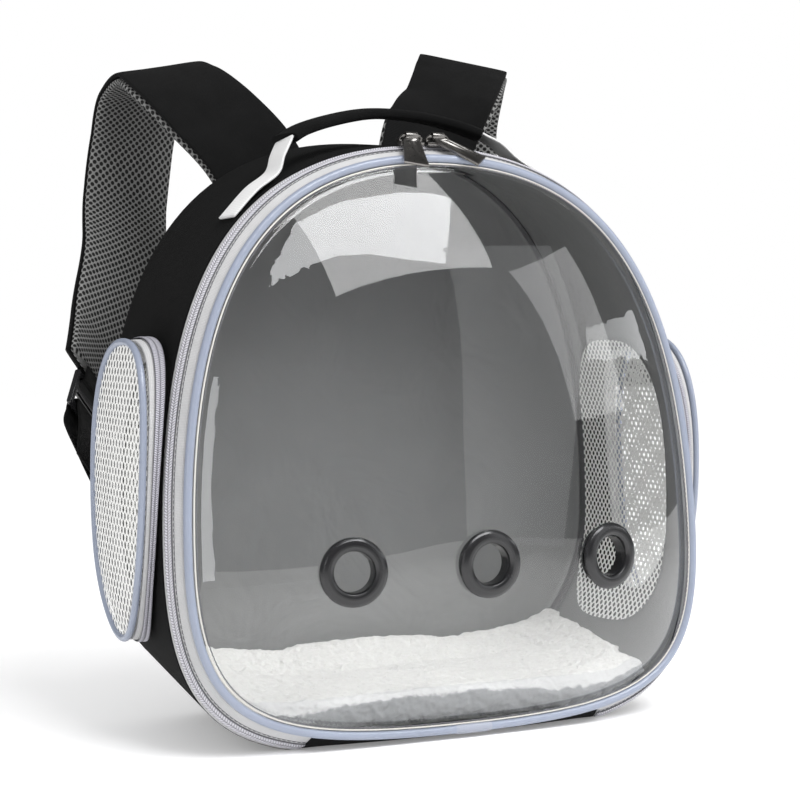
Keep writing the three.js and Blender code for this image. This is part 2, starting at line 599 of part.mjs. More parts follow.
// Ladder locks, the short loop that ties each one to its strap, and the webbing sewn to the back
for (const [name, side] of Object.entries(sides)) {
  const { at, along, across } = strapEnd[name];
  const wide = across.clone().addScaledVector(along, -across.dot(along)).normalize();
  const normal = along.clone().cross(wide);
  const spot = (down, out) => at.clone().addScaledVector(along, down).addScaledVector(normal, out);
  const [halfWide, halfHigh] = [lock.width / 2, lock.height / 2];
  const frame = new THREE.Shape();
  frame.moveTo(-halfWide, -halfHigh);
  frame.lineTo(halfWide, -halfHigh);
  frame.lineTo(halfWide, halfHigh);
  frame.lineTo(-halfWide, halfHigh);
  const slotHigh = (lock.height - 3 * lock.bar) / 2;
  for (const end of [-1, 1]) {
    const middle = (end * (slotHigh + lock.bar)) / 2;
    const slot = new THREE.Path();
    const slotHalf = halfWide - lock.bar;
    slot.moveTo(-slotHalf, middle - slotHigh / 2);
    slot.lineTo(-slotHalf, middle + slotHigh / 2);
    slot.lineTo(slotHalf, middle + slotHigh / 2);
    slot.lineTo(slotHalf, middle - slotHigh / 2);
    frame.holes.push(slot);
  }
  const plate = new THREE.ExtrudeGeometry(frame, { depth: lock.thick, bevelEnabled: false });
  plate.translate(0, 0, -lock.thick / 2);
  const buckle = add(`ladder_lock_${name}`, surfaceOf(solid(plate)), "gloss");
  const hang = clearance * 2 + lock.thick;
  const lockDown = hang + webbing.thick + halfHigh;
  buckle.position.copy(spot(lockDown, 0));
  buckle.quaternion.setFromRotationMatrix(
    new THREE.Matrix4().makeBasis(wide, along.clone().negate(), normal),
  );
  const turnOver = (lock.thick + webbing.thick) / 2 + clearance * 2.5;
  const upperBar = lockDown - halfHigh + lock.bar / 2;
  const bend = (lock.bar + webbing.thick) / 2 + clearance * 2.5;
  const { slack } = webbing;
  const ribbonOf = (spots) => spots.map((p) => ({ at: p, across: wide, width: webbing.width }));
  const loop = [
    spot(clearance, turnOver), spot(upperBar - bend, turnOver), spot(upperBar, turnOver + slack),
    spot(upperBar + bend, turnOver), spot(upperBar + bend + slack, 0), spot(upperBar + bend, -turnOver),
    spot(upperBar, -turnOver - slack), spot(upperBar - bend, -turnOver), spot(clearance, -turnOver),
  ];
  const tape = { low: -webbing.thick / 2, high: webbing.thick / 2 };
  add(`lock_loop_${name}`, ribbon(ribbonOf(loop), 14, tape), "black");
  const lowerBar = lockDown + halfHigh - lock.bar / 2;
  const sewn = V(side * lowerStrap.sewnOut, shell.back + lowerStrap.sewnBack, lowerStrap.sewnUp);
  const rise = V(side * lowerStrap.riseOut, shell.back + lowerStrap.riseBack, lowerStrap.riseUp);
  const onBack = sewn.clone().add(V(side * 2, clearance, tail.lead));
  const sewnSpots = [sewn, onBack, rise].map((p) => ({ at: p, across: V(1, 0, 0), width: webbing.width }));
  const threaded = ribbonOf([
    spot(lowerBar + tail.lead, -2), spot(lowerBar + bend, -turnOver), spot(lowerBar, -turnOver - slack),
    spot(lowerBar - bend, -turnOver), spot(lowerBar - bend - slack, 0), spot(lowerBar - bend, turnOver),
    spot(lowerBar, turnOver + slack), spot(lowerBar + tail.kink, turnOver + tail.kinkOut),
    spot(lowerBar + tail.end, turnOver + tail.endOut),
  ]);
  add(`strap_webbing_${name}`, ribbon([...sewnSpots, ...threaded], 22, tape), "black");
}

// Top handle: webbing sewn to both shoulders of the body, with a padded grip over its middle
const handleRoute = [
  { out: -1, back: 0, over: 0.18 }, { out: -0.87, back: 0.04, over: 0.22 },
  { out: -0.76, back: 0.08, over: 0.25 }, { out: -0.725, back: 0.16, over: 0.62 },
  { out: -0.68, back: 0.3, over: 0.95 }, { out: -0.58, back: 0.5, over: 0.98 },
  { out: -0.4, back: 0.75, over: 0.97 }, { out: -0.19, back: 0.95, over: 1 },
  { out: 0, back: 1, over: 0.95 }, { out: 0.15, back: 0.95, over: 0.88 },
  { out: 0.29, back: 0.8, over: 0.78 }, { out: 0.39, back: 0.6, over: 0.68 },
  { out: 0.46, back: 0.35, over: 0.52 }, { out: 0.53, back: 0.15, over: 0.25 },
  { out: 0.63, back: 0.08, over: 0.12 }, { out: 0.76, back: 0.04, over: 0.1 },
  { out: 0.9, back: 0, over: 0.1 },
];

// The height of the body's top at a place, as its facets have it.
function topHeight(x, y) {
  const half = loopSteps / 2;
  const guess = frontY(rim.top);
  const depth = THREE.MathUtils.clamp((y - guess) / (shell.back - guess), 0, 1);
  const rows = Array.from({ length: half }, (_, i) => bodyPoint(0.5 - i / loopSteps, depth));
  return heightOver(rows, x);
}
function handleStation({ out, back, over }) {
  const x = out * handle.spread;
  const y = frontY(topHeight(x, 0)) + handle.width / 2 + handle.behindZip + back * handle.back;
  const half = handle.width / 2;
  const across = V(0, handle.width, topHeight(x, y + half) - topHeight(x, y - half)).normalize();
  return { at: V(x, y, topHeight(x, y) + over * handle.loop), across, width: handle.width };
}
const handleStations = handleRoute.map(handleStation);
const tape = { low: -handle.webbing / 2, high: handle.webbing / 2 };
const gripStations = handleStations.slice(handle.gripFrom, handle.gripTo + 1)
  .map((station) => ({ ...station, width: handle.gripWidth }));
for (const [end, next] of [[0, 1], [gripStations.length - 1, gripStations.length - 2]]) {
  const [a, b] = [gripStations[end], gripStations[next]];
  a.at = a.at.clone().addScaledVector(b.at.clone().sub(a.at).normalize(), handle.gripTuck);
}
const gripLayer = { low: -handle.grip / 2, high: handle.grip / 2 };
add("handle_webbing_left", ribbon(handleStations.slice(0, handle.gripFrom + 1), 8, tape), "white");
add("handle_grip", ribbon(gripStations, 14, gripLayer, true), "black");
add("handle_webbing_right", ribbon(handleStations.slice(handle.gripTo), 8, tape), "white");

// A plate with an outline in X and Z, thick along Y.
function plateXZ(shape, thick) {
  const plate = new THREE.ExtrudeGeometry(shape, { depth: thick, bevelEnabled: false });
  plate.translate(0, 0, -thick / 2);
  plate.rotateX(Math.PI / 2);
  return plate;
}
function outlineShape(corners) {
  const points = corners.map(([x, z]) => new THREE.Vector2(x, z));
  return new THREE.Shape(THREE.ShapeUtils.isClockWise(points) ? points.reverse() : points);
}

// Door sliders: a body over the chain with a wire bail, and a pull that swings on the bail. Both pulls
// lie askew. Each corner of a pull is its place across and its share of the pull's length.
const pullOutlines = {
  left: [[-4, 0.058], [4, 0.058], [3.9, 0.225], [0.3, 1], [-15.2, 0.885], [-6.8, 0.145]],
  right: [[-4, 0.058], [4, 0.058], [6.5, 0.103], [25.6, 0.661], [17, 0.923], [-3, 0.21]],
};
for (const [name, side] of Object.entries(sides)) {
  let share = 0.5;
  const step = -0.0004 * side;
  while ((bandPoint(share, door.chainAt).x - slider[name]) * side < 0) share += step;
  const seat = bandPoint(share, door.chainAt, -chainTop);
  const slope = bandPoint(share, door.chainAt + 0.1, -chainTop).sub(seat);
  const tilt = Math.atan2(slope.z, slope.y);
  const group = new THREE.Group();
  group.position.copy(seat);
  group.rotation.x = tilt;
  object.add(group);
  const bodyLow = clearance * 2;
  const bodyHigh = bodyLow + slider.body;
  const hingeUp = bodyHigh + slider.knuckle + clearance;
  const body = new THREE.BoxGeometry(slider.length, slider.width, slider.body);
  body.translate(0, 0, bodyLow + slider.body / 2);
  const half = slider.length / 2;
  const high = hingeUp + slider.wire / 2;
  const { corner } = slider;
  const foot = bodyHigh - bury;
  const bail = outlineShape([
    [-half, foot], [half, foot], [half, high - corner], [half - corner, high],
    [corner - half, high], [-half, high - corner],
  ]);
  const opening = half - slider.wire;
  const roof = high - slider.wire;
  const sill = bodyHigh - bury / 2;
  bail.holes.push(new THREE.Path([
    [-opening, sill], [-opening, roof], [opening, roof], [opening, sill],
  ].map(([x, z]) => new THREE.Vector2(x, z))));
  const bailPlate = plateXZ(bail, slider.wire);
  const joined = solid(body).add(solid(bailPlate));
  add(`door_slider_${name}`, surfaceOf(joined), "metal", group);
  group.updateMatrixWorld(true);
  const hingePlace = V(0, 0, hingeUp).applyMatrix4(group.matrixWorld);
  const top = rimPoint3(share);
  const toCord = top.sub(hingePlace).setX(0);
  const clear = piping.radius + pull.thick / 2 + clearance + pull.restGap;
  const restDown = Math.atan2(-toCord.z, -toCord.y) - Math.asin(clear / toCord.length());
  const swing = new THREE.Group();
  swing.position.copy(hingePlace);
  swing.rotation.x = restDown - Math.PI / 2;
  object.add(swing);
  const blade = outlineShape(pullOutlines[name].map(([x, down]) => [x, -down * pull.length]));
  const knuckle = new THREE.Shape();
  knuckle.absarc(0, 0, slider.knuckle, 0, 2 * Math.PI);
  knuckle.holes.push(new THREE.Path().absarc(0, 0, slider.bore, 0, 2 * Math.PI, true));
  const eye = new THREE.ExtrudeGeometry(knuckle, {
    depth: slider.knuckleWidth, bevelEnabled: false, curveSegments: 10,
  });
  eye.translate(0, 0, -slider.knuckleWidth / 2);
  eye.rotateY(Math.PI / 2);
  const pullSolid = solid(plateXZ(blade, pull.thick)).add(solid(eye));
  add(`door_pull_${name}`, surfaceOf(pullSolid), "metal", swing);
}

// The rear of a pocket's chain at a height.
function pocketChainAt(z) {
  let share = 0.25;
  while (pocketPoint(share).y < z) share += 0.0005;
  return pocketPoint(share, -pocket.bulge - pocket.chainLift - pocket.chainThick);
}

// Pocket sliders: a body on the rear of each gusset, and a wire pull that hangs by its cross bar. The
// body clears the chain at its lower end too, where the facets lie inside the chain's curve. The foot of
// the pull clears the chain and the wall beside it.
for (const [name, side] of Object.entries(sides)) {
  const chainSide = pocketChainAt(pocketSlider.height);
  const chainUnder = pocketChainAt(pocketSlider.height - pocketSlider.length / 2);
  const chainBelow = pocketChainAt(pocketSlider.height - pull.length);
  const wall = halfWidthAt(chainSide.x, chainSide.y);
  const leaned = (pocket.flatter * (sideWidth - wall)) / 2;
  const seat = Math.max(chainSide.x + clearance * 2, chainUnder.x - clearance * 1.5);
  const hang = seat + pocketSlider.body + clearance + pocketSlider.open / 2;
  const besideWall = halfWidthAt(hang, pocketSlider.height - pull.length) + pocketSlider.frame / 2;
  const overChain = wall + pocket.stand * 0.5 + leaned + pocketSlider.offset;
  const x = side * Math.max(overChain, besideWall + clearance);
  const group = new THREE.Group();
  group.position.set(x, seat, chainSide.y);
  object.add(group);
  const body = new THREE.BoxGeometry(pocketSlider.width, pocketSlider.body, pocketSlider.length);
  body.translate(0, pocketSlider.body / 2 + clearance, 0);
  const low = pocketSlider.body + clearance;
  const half = pocketSlider.length / 2;
  const far = low + pocketSlider.open + slider.wire;
  const { corner } = pocketSlider;
  const bail = outlineShape([
    [low - bury, -half], [far - corner, -half], [far, corner - half], [far, half - corner],
    [far - corner, half], [low - bury, half],
  ]);
  const inside = half - slider.wire;
  const sill = low - bury / 2;
  const roof = low + pocketSlider.open;
  bail.holes.push(new THREE.Path([
    [sill, -inside], [sill, inside], [roof, inside], [roof, -inside],
  ].map(([a, b]) => new THREE.Vector2(a, b))));
  const hoop = new THREE.ExtrudeGeometry(bail, { depth: slider.wire, bevelEnabled: false });
  hoop.translate(0, 0, -slider.wire / 2);
  hoop.applyMatrix4(new THREE.Matrix4().makeBasis(V(0, 1, 0), V(0, 0, 1), V(1, 0, 0)));
  add(`pocket_slider_${name}`, surfaceOf(solid(body).add(solid(hoop))), "metal", group);
  const swing = new THREE.Group();
  swing.position.set(x, group.position.y + low + pocketSlider.open / 2, chainSide.y);
  const swell = chainBelow.x + clearance + pull.sheet / 2 - swing.position.y;
  swing.rotation.x = Math.atan2(Math.max(swell, 0), pull.length);
  object.add(swing);
  const wide = pocketSlider.frame / 2;
  const frame = outlineShape([
    [-wide, 0.5], [wide, 0.5], [wide, -pull.length], [-wide, -pull.length],
  ]);
  const cutouts = [
    [-pull.bar, -pocketSlider.waistTop, pocketSlider.window],
    [-pocketSlider.waistLow, pocketSlider.foot - pull.length, wide - pocketSlider.rail],
  ];
  for (const [topEdge, lowEdge, across] of cutouts) {
    frame.holes.push(new THREE.Path([
      [-across, topEdge], [across, topEdge], [across, lowEdge], [-across, lowEdge],
    ].map(([a, b]) => new THREE.Vector2(a, b))));
  }
  const bar = new THREE.CylinderGeometry(pull.bar, pull.bar, pocketSlider.frame, 8);
  bar.rotateZ(Math.PI / 2);
  const wirePull = solid(plateXZ(frame, pull.sheet)).add(solid(bar));
  add(`pocket_pull_${name}`, surfaceOf(wirePull), "metal", swing);
}

export default object;
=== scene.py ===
"""Small animal carrier backpack: the looks of every piece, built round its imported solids.
Metres, +Z up, the clear front faces -Y. The sections follow the order in which the carrier is put
together."""
import math

import bpy
import numpy as np
from mathutils import Matrix, Vector
from mathutils.geometry import interpolate_bezier


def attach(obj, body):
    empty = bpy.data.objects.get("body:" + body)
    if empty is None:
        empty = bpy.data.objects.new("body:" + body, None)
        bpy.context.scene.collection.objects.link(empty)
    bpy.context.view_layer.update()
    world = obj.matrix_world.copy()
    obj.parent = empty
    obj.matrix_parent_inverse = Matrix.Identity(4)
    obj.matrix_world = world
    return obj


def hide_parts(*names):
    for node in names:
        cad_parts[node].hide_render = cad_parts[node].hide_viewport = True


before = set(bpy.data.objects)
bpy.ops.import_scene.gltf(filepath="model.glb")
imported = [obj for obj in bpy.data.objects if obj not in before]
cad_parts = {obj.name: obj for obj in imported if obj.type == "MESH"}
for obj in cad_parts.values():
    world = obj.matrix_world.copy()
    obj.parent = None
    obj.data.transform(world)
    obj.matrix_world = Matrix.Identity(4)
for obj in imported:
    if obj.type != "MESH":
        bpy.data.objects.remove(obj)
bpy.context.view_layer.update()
bpy.ops.object.select_all(action="DESELECT")

# View: a long lens at knee height, a little to the left of the carrier's front.
bpy.ops.object.camera_add(location=(-0.5880, -1.1541, 0.2654))
camera = bpy.context.object
towards = Vector((0, 0, 0.181)) - camera.location
camera.rotation_euler = towards.to_track_quat("-Z", "Y").to_euler()
camera.data.lens = 90.6
camera.data.shift_x = -0.0056
camera.data.shift_y = 0.0463
bpy.context.scene.camera = camera
bpy.context.scene.view_settings.view_transform = "Standard"

# Studio: a pale floor that runs into a white surround. The surround is dim in reflections, so that the
# clear window shows the soft boxes and little else.
bpy.ops.mesh.primitive_plane_add(size=9)
floor = bpy.context.object
floor.name = "studio_floor"


def new_material(name, colour, roughness, metallic=0.0):
    """A material with one principled shader, and its node tree."""
    material = bpy.data.materials.new(name)
    material.use_nodes = True
    shader = material.node_tree.nodes["Principled BSDF"]
    shader.inputs["Base Color"].default_value = (*colour, 1)
    shader.inputs["Roughness"].default_value = roughness
    shader.inputs["Metallic"].default_value = metallic
    return material, material.node_tree, shader


def node(tree, kind, sockets=(), **settings):
    """Adds a shader node. A socket is given a value, or another node's output to link to."""
    made = tree.nodes.new(kind)
    for name, value in settings.items():
        setattr(made, name, value)
    for key, value in dict(sockets).items():
        if isinstance(value, bpy.types.NodeSocket):
            tree.links.new(value, made.inputs[key])
        else:
            made.inputs[key].default_value = value
    return made


floor_paint, floor_tree, floor_shader = new_material("studio_floor_paint", (0.93, 0.93, 0.935), 0.65)
floor_grain = node(floor_tree, "ShaderNodeTexNoise", {"Scale": 35, "Detail": 3})
floor_bump = node(floor_tree, "ShaderNodeBump", {"Strength": 0.02, "Height": floor_grain.outputs["Fac"]})
floor_tree.links.new(floor_bump.outputs["Normal"], floor_shader.inputs["Normal"])
floor_shader.inputs["Specular IOR Level"].default_value = 0.2
floor_shader.inputs["Emission Color"].default_value = (1, 1, 1, 1)
floor_shader.inputs["Emission Strength"].default_value = 0.2
floor_place = node(floor_tree, "ShaderNodeTexCoord").outputs["Object"]
floor_out = node(floor_tree, "ShaderNodeVectorMath", {0: floor_place}, operation="LENGTH")
floor_fade = node(floor_tree, "ShaderNodeMapRange", {0: floor_out.outputs["Value"], 1: 0.5, 2: 1.6})
floor_glow = node(floor_tree, "ShaderNodeEmission", {"Strength": 1.05})
floor_mix = node(
    floor_tree, "ShaderNodeMixShader",
    {0: floor_fade.outputs[0], 1: floor_shader.outputs[0], 2: floor_glow.outputs[0]},
)
floor_tree.links.new(floor_mix.outputs[0], floor_tree.nodes["Material Output"].inputs["Surface"])
floor.data.materials.append(floor_paint)

world = bpy.data.worlds.new("studio")
bpy.context.scene.world = world
world.use_nodes = True
air = world.node_tree
rays = node(air, "ShaderNodeLightPath")
dim = node(air, "ShaderNodeMix", {"Factor": rays.outputs["Is Glossy Ray"], "A": 0.8, "B": 0.14})
bright = node(
    air, "ShaderNodeMix", {"Factor": rays.outputs["Is Camera Ray"], "A": dim.outputs["Result"], "B": 1.0}
)
air.links.new(bright.outputs["Result"], air.nodes["Background"].inputs["Strength"])
air.nodes["Background"].inputs["Color"].default_value = (1, 1, 1, 1)


def soft_box(place, target, width, height, power):
    """An area lamp that faces a point."""
    bpy.ops.object.light_add(type="AREA", location=place)
    lamp = bpy.context.object
    lamp.data.shape = "RECTANGLE"
    lamp.data.size = width
    lamp.data.size_y = height
    lamp.data.energy = power
    lamp.rotation_euler = (Vector(target) - Vector(place)).to_track_quat("-Z", "Y").to_euler()
    return lamp


top_box = soft_box((0.4, -1.2, 1.9), (0, 0, 0.12), 1.4, 1.1, 42)
left_box = soft_box((-2.0, -1.0, 1.2), (0, 0, 0.2), 0.8, 1.4, 12)
right_box = soft_box((1.9, -1.2, 1.1), (0, 0, 0.2), 1.0, 1.2, 14)
for lamp in (top_box, left_box, right_box):
    lamp.visible_camera = False
    lamp.visible_glossy = False

# Body: a hollow arched cover of black woven polyester, cut as one band round the sides with a flat back,
# and turned over at both edges. Its shape is set by an outline at the zip and one at the back.
RIM = {"half": 0.1755, "bottom": 0.006, "top": 0.356, "widest": 0.117, "out": 0.75, "up": 0.125}
RIM_FRONT, RIM_LEAN = -0.080, math.tan(math.radians(5))
DOOR_DEPTH, FLARE = 0.020, 0.0085
BACK = 0.075
SHELL_WALL = 0.0025
COVER_EDGE = 0.008


def arch(half, bottom, top, widest, out, up, floor_height=None):
    """An outline with arched shoulders. It gives the point at a share of its length, moved inwards."""
    rise = top - widest
    low = bottom + up * (widest - bottom)
    shoulder = widest + 0.694 * rise
    knots = [
        (0, bottom), (out * half, bottom), (half, low), (half, widest), (half, shoulder),
        (0.674 * half, top), (0, top), (-0.674 * half, top), (-half, shoulder), (-half, widest),
        (-half, low), (-out * half, bottom), (0, bottom),
    ]
    line = []
    for start in range(0, 12, 3):
        curve = [Vector(knot).to_3d() for knot in knots[start : start + 4]]
        line += interpolate_bezier(*curve, 300)[:-1]
    line = np.array([point[:2] for point in line + [line[0]]])
    length = np.concatenate([[0], np.cumsum(np.linalg.norm(np.diff(line, axis=0), axis=1))])
    along = np.roll(line[:-1], -1, axis=0) - np.roll(line[:-1], 1, axis=0)
    along /= np.linalg.norm(along, axis=1, keepdims=True)
    along = np.vstack([along, along[:1]])

    def at(share, inset=0.0):
        spot = (share % 1) * length[-1]
        x, z = (np.interp(spot, length, line[:, k]) for k in (0, 1))
        dx, dz = (np.interp(spot, length, along[:, k]) for k in (0, 1))
        if floor_height is not None and z < floor_height:
            z, dx, dz = floor_height, 1.0, 0.0
        return x - dz * inset, z + dx * inset

    at.length = length[-1]
    return at


rim_at = arch(**RIM)
front_at = arch(
    RIM["half"] + FLARE, -FLARE, RIM["top"] + FLARE, RIM["widest"], RIM["out"], RIM["up"], 0
)
back_at = arch(0.181, -FLARE, 0.374, 0.122, 0.5, 0.3, 0)


def rim_y(z):
    return RIM_FRONT + (z - RIM["bottom"]) * RIM_LEAN


def body_point(share, depth, inset=0.0):
    """A point of the cover, at a share of its depth from the zip to the back."""
    fx, fz = front_at(share, inset)
    bx, bz = back_at(share, inset)
    z = fz + (bz - fz) * depth
    y = rim_y(fz) + DOOR_DEPTH
    return Vector((fx + (bx - fx) * depth, y + (BACK - y) * depth, z))


side_shares = np.linspace(0, 0.5, 240)
front_side = np.array([front_at(s) for s in side_shares])
back_side = np.array([back_at(s) for s in side_shares])


def wall_x(y, z):
    """Half the cover's width at a place on its side."""
    front = rim_y(z) + DOOR_DEPTH
    depth = min(max((y - front) / (BACK - front), 0), 1)
    line = front_side + (back_side - front_side) * depth
    return float(np.interp(z, line[:, 1], line[:, 0]))


def bent_sheet(name, across, along, place, size, closed=False):
    """A grid bent to place(u, v), with a UV map in metres. A closed one is joined where it meets."""
    bpy.ops.object.select_all(action="DESELECT")
    bpy.ops.mesh.primitive_grid_add(x_subdivisions=across, y_subdivisions=along, size=2, calc_uvs=True)
    sheet = bpy.context.object
    sheet.name = name
    sheet.data.name = name
    for vertex in sheet.data.vertices:
        vertex.co = place((vertex.co.x + 1) / 2, (vertex.co.y + 1) / 2)
    for corner in sheet.data.uv_layers.active.data:
        corner.uv = (corner.uv[0] * size[0], corner.uv[1] * size[1])
    if closed:
        bpy.ops.object.mode_set(mode="EDIT")
        bpy.ops.mesh.select_all(action="SELECT")
        bpy.ops.mesh.remove_doubles(threshold=1e-5)
        bpy.ops.object.mode_set(mode="OBJECT")
    bpy.ops.object.shade_smooth()
    return sheet


def finish_with(piece, kind, **settings):
    """Adds a modifier and applies it."""
    bpy.ops.object.select_all(action="DESELECT")
    bpy.context.view_layer.objects.active = piece
    piece.select_set(True)
    modifier = piece.modifiers.new(kind.lower(), kind)
    for name, value in settings.items():
        setattr(modifier, name, value)
    bpy.ops.object.modifier_apply(modifier=modifier.name)
    return piece


def faces_out(piece):
    """Turns the faces of a sheet or closed form outwards."""
    bpy.ops.object.select_all(action="DESELECT")
    bpy.context.view_layer.objects.active = piece
    piece.select_set(True)
    bpy.ops.object.mode_set(mode="EDIT")
    bpy.ops.mesh.select_all(action="SELECT")
    bpy.ops.mesh.normals_make_consistent(inside=False)
    bpy.ops.object.mode_set(mode="OBJECT")
    return piece


def cover_point(inset):
    """A path over one side of the cover: along its depth, round the back edge and to the back's middle."""
    bend = 0.78
    middle = Vector((0, BACK - inset, 0.19))

    def place(u, v):
        edge = max(COVER_EDGE, inset)
        if v < bend:
            depth_end = 1 - (edge - inset) / 0.13
            return body_point(u, v / bend * depth_end, inset)
        turn = min((v - bend) / 0.06, 1)
        x, z = back_at(u, edge)
        hub = Vector((x, BACK - edge, z))
        outer = body_point(u, 1 - (edge - inset) / 0.13, inset)
        rim_out = Vector((outer.x - x, 0, outer.z - z))
        angle = turn * math.pi / 2
        lift = edge - inset
        rounded = hub + rim_out * math.cos(angle) + Vector((0, lift * math.sin(angle), 0))
        if turn < 1:
            return rounded
        share = (v - bend - 0.06) / (1 - bend - 0.06)
        start = Vector((x, BACK - inset, z))
        return start.lerp(middle, share)

    return place


def pocket_outline(share, inset=0.0):
    y, z = pocket_at(share, inset)
    return y + POCKET_CENTRE, z


POCKET_CENTRE = -0.001
pocket_at = arch(0.047, 0.064, 0.245, 0.172, 0.5, 0.3)


def cut_side_windows(piece, outline, steps):
    """Cuts the same opening through both sides of a sheet."""
    for side in (-1, 1):
        bpy.ops.object.select_all(action="DESELECT")
        bpy.ops.mesh.primitive_circle_add(vertices=steps, fill_type="NGON")
        cutter = bpy.context.object
        for k, vertex in enumerate(cutter.data.vertices):
            y, z = outline(k / steps)
            vertex.co = (side * 0.13, y, z)
        bpy.ops.object.mode_set(mode="EDIT")
        bpy.ops.mesh.select_all(action="SELECT")
        bpy.ops.mesh.extrude_region_move(TRANSFORM_OT_translate={"value": (side * 0.09, 0, 0)})
        bpy.ops.mesh.select_all(action="SELECT")
        bpy.ops.mesh.normals_make_consistent(inside=False)
        bpy.ops.object.mode_set(mode="OBJECT")
        finish_with(piece, "BOOLEAN", object=cutter, operation="DIFFERENCE", solver="EXACT")
        bpy.data.objects.remove(cutter)


# Cloth finishes read the UV map, which is in metres. This group is a plain weave of round threads.
weave = bpy.data.node_groups.new("plain_weave", "ShaderNodeTree")
for label, way, kind in (
    ("Vector", "INPUT", "NodeSocketVector"), ("Thread", "INPUT", "NodeSocketFloat"),
    ("Height", "OUTPUT", "NodeSocketFloat"), ("PaintedShadeTone", "OUTPUT", "NodeSocketFloat"),
):
    weave.interface.new_socket(label, in_out=way, socket_type=kind)
weave_in = node(weave, "NodeGroupInput")
weave_out = node(weave, "NodeGroupOutput")
per_thread = node(weave, "ShaderNodeMath", {0: math.pi, 1: weave_in.outputs["Thread"]}, operation="DIVIDE")
spread = node(
    weave, "ShaderNodeVectorMath", {"Vector": weave_in.outputs["Vector"], "Scale": per_thread.outputs[0]},
    operation="SCALE",
)
axes = node(weave, "ShaderNodeSeparateXYZ", {0: spread.outputs["Vector"]})
waves = [
    node(
        weave, "ShaderNodeMath",
        {0: node(weave, "ShaderNodeMath", {0: axes.outputs[k]}, operation="SINE").outputs[0]},
        operation="ABSOLUTE",
    )
    for k in (0, 1)
]
cross = node(weave, "ShaderNodeMath", {0: waves[0].outputs[0], 1: waves[1].outputs[0]}, operation="MULTIPLY")
weave.links.new(cross.outputs[0], weave_out.inputs["Height"])
drift = node(weave, "ShaderNodeTexNoise", {"Vector": weave_in.outputs["Vector"], "Scale": 60, "Detail": 4})
# Painted shade: the tone follows the threads' height, darker where they dip, and a noise varies it at random.
painted_shade_tone = node(
    weave, "ShaderNodeMath", {0: cross.outputs[0], 1: drift.outputs["Fac"]}, operation="MULTIPLY"
)
weave.links.new(painted_shade_tone.outputs[0], weave_out.inputs["PaintedShadeTone"])


def woven(name, dark, light, roughness, thread, bump, sheen=0.0):
    """A woven cloth between two tones; the dark tone is painted shade between the threads, varied at random.
    """
    material, tree, shader = new_material(name, light, roughness)
    place = node(tree, "ShaderNodeTexCoord").outputs["UV"]
    cloth = node(tree, "ShaderNodeGroup", node_tree=weave)
    tree.links.new(place, cloth.inputs["Vector"])
    cloth.inputs["Thread"].default_value = thread
    blend = node(
        tree, "ShaderNodeMix", {0: cloth.outputs["PaintedShadeTone"], 6: (*dark, 1), 7: (*light, 1)}, data_type="RGBA"
    )
    tree.links.new(blend.outputs[2], shader.inputs["Base Color"])
    relief = node(
        tree, "ShaderNodeBump",
        {"Strength": bump, "Distance": thread * 0.5, "Height": cloth.outputs["Height"]},
    )
    tree.links.new(relief.outputs["Normal"], shader.inputs["Normal"])
    shader.inputs["Sheen Weight"].default_value = sheen
    shader.inputs["Specular IOR Level"].default_value = 0.15
    return material


def copy_of(node_name, name):
    """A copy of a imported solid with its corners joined, to be rounded or filled out."""
    bpy.ops.object.select_all(action="DESELECT")
    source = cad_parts[node_name]
    piece = bpy.data.objects.new(name, source.data.copy())
    piece.data.name = name
    bpy.context.collection.objects.link(piece)
    bpy.context.view_layer.objects.active = piece
    piece.select_set(True)
    bpy.ops.object.mode_set(mode="EDIT")
    bpy.ops.mesh.select_all(action="SELECT")
    bpy.ops.mesh.remove_doubles(threshold=1e-5)
    bpy.ops.mesh.normals_make_consistent(inside=False)
    bpy.ops.object.mode_set(mode="OBJECT")
    return piece


def rounded_copy(node_name, name, width):
    """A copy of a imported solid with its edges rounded."""
    piece = copy_of(node_name, name)
    finish_with(piece, "BEVEL", width=width, segments=3, limit_method="ANGLE", angle_limit=math.radians(35))
    bpy.ops.object.shade_smooth_by_angle(angle=math.radians(50))
    return piece


def settle(piece, material, body, slot_name, *nodes):
    """Gives a piece its finish, the body that it rides on and the solids that it stands for."""
    piece.data.materials.clear()
    piece.data.materials.append(material)
    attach(piece, body)
    if nodes:
        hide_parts(*nodes)
    return piece


black_cloth = woven(
    "black_woven_cloth", (0.001, 0.001, 0.001), (0.009, 0.009, 0.0093), 0.9, 0.0007, 0.6, 0.01
)
shell = bent_sheet("shell_cloth", 145, 42, cover_point(0.0), (1.12, 0.30), closed=True)
faces_out(shell)
finish_with(shell, "SOLIDIFY", thickness=SHELL_WALL, offset=-1)
cut_side_windows(shell, lambda s: pocket_outline(s, 0.0078), 60)
settle(shell, black_cloth, "carrier", "black_cloth", "shell")

# Lining: a satin polyester skin inside the cover, cut out over the side nets, with a soft bound seam
# where its sides meet the back.
LINING_INSET = SHELL_WALL + 0.0003
LINING_WALL = 0.001
WINDOW_FRONT, WINDOW_REAR, WINDOW_LOW, WINDOW_HIGH = -0.033, 0.064, 0.052, 0.240


def window_outline(share, inset=0.0):
    """A rectangle with round corners, in Y and Z."""
    angle = share * 2 * math.pi
    bend = [math.copysign(abs(v) ** 0.625, v) for v in (math.cos(angle), math.sin(angle))]
    half_y = (WINDOW_REAR - WINDOW_FRONT) / 2 - inset
    half_z = (WINDOW_HIGH - WINDOW_LOW) / 2 - inset
    y = (WINDOW_REAR + WINDOW_FRONT) / 2 + half_y * bend[0]
    return y, (WINDOW_HIGH + WINDOW_LOW) / 2 + half_z * bend[1]


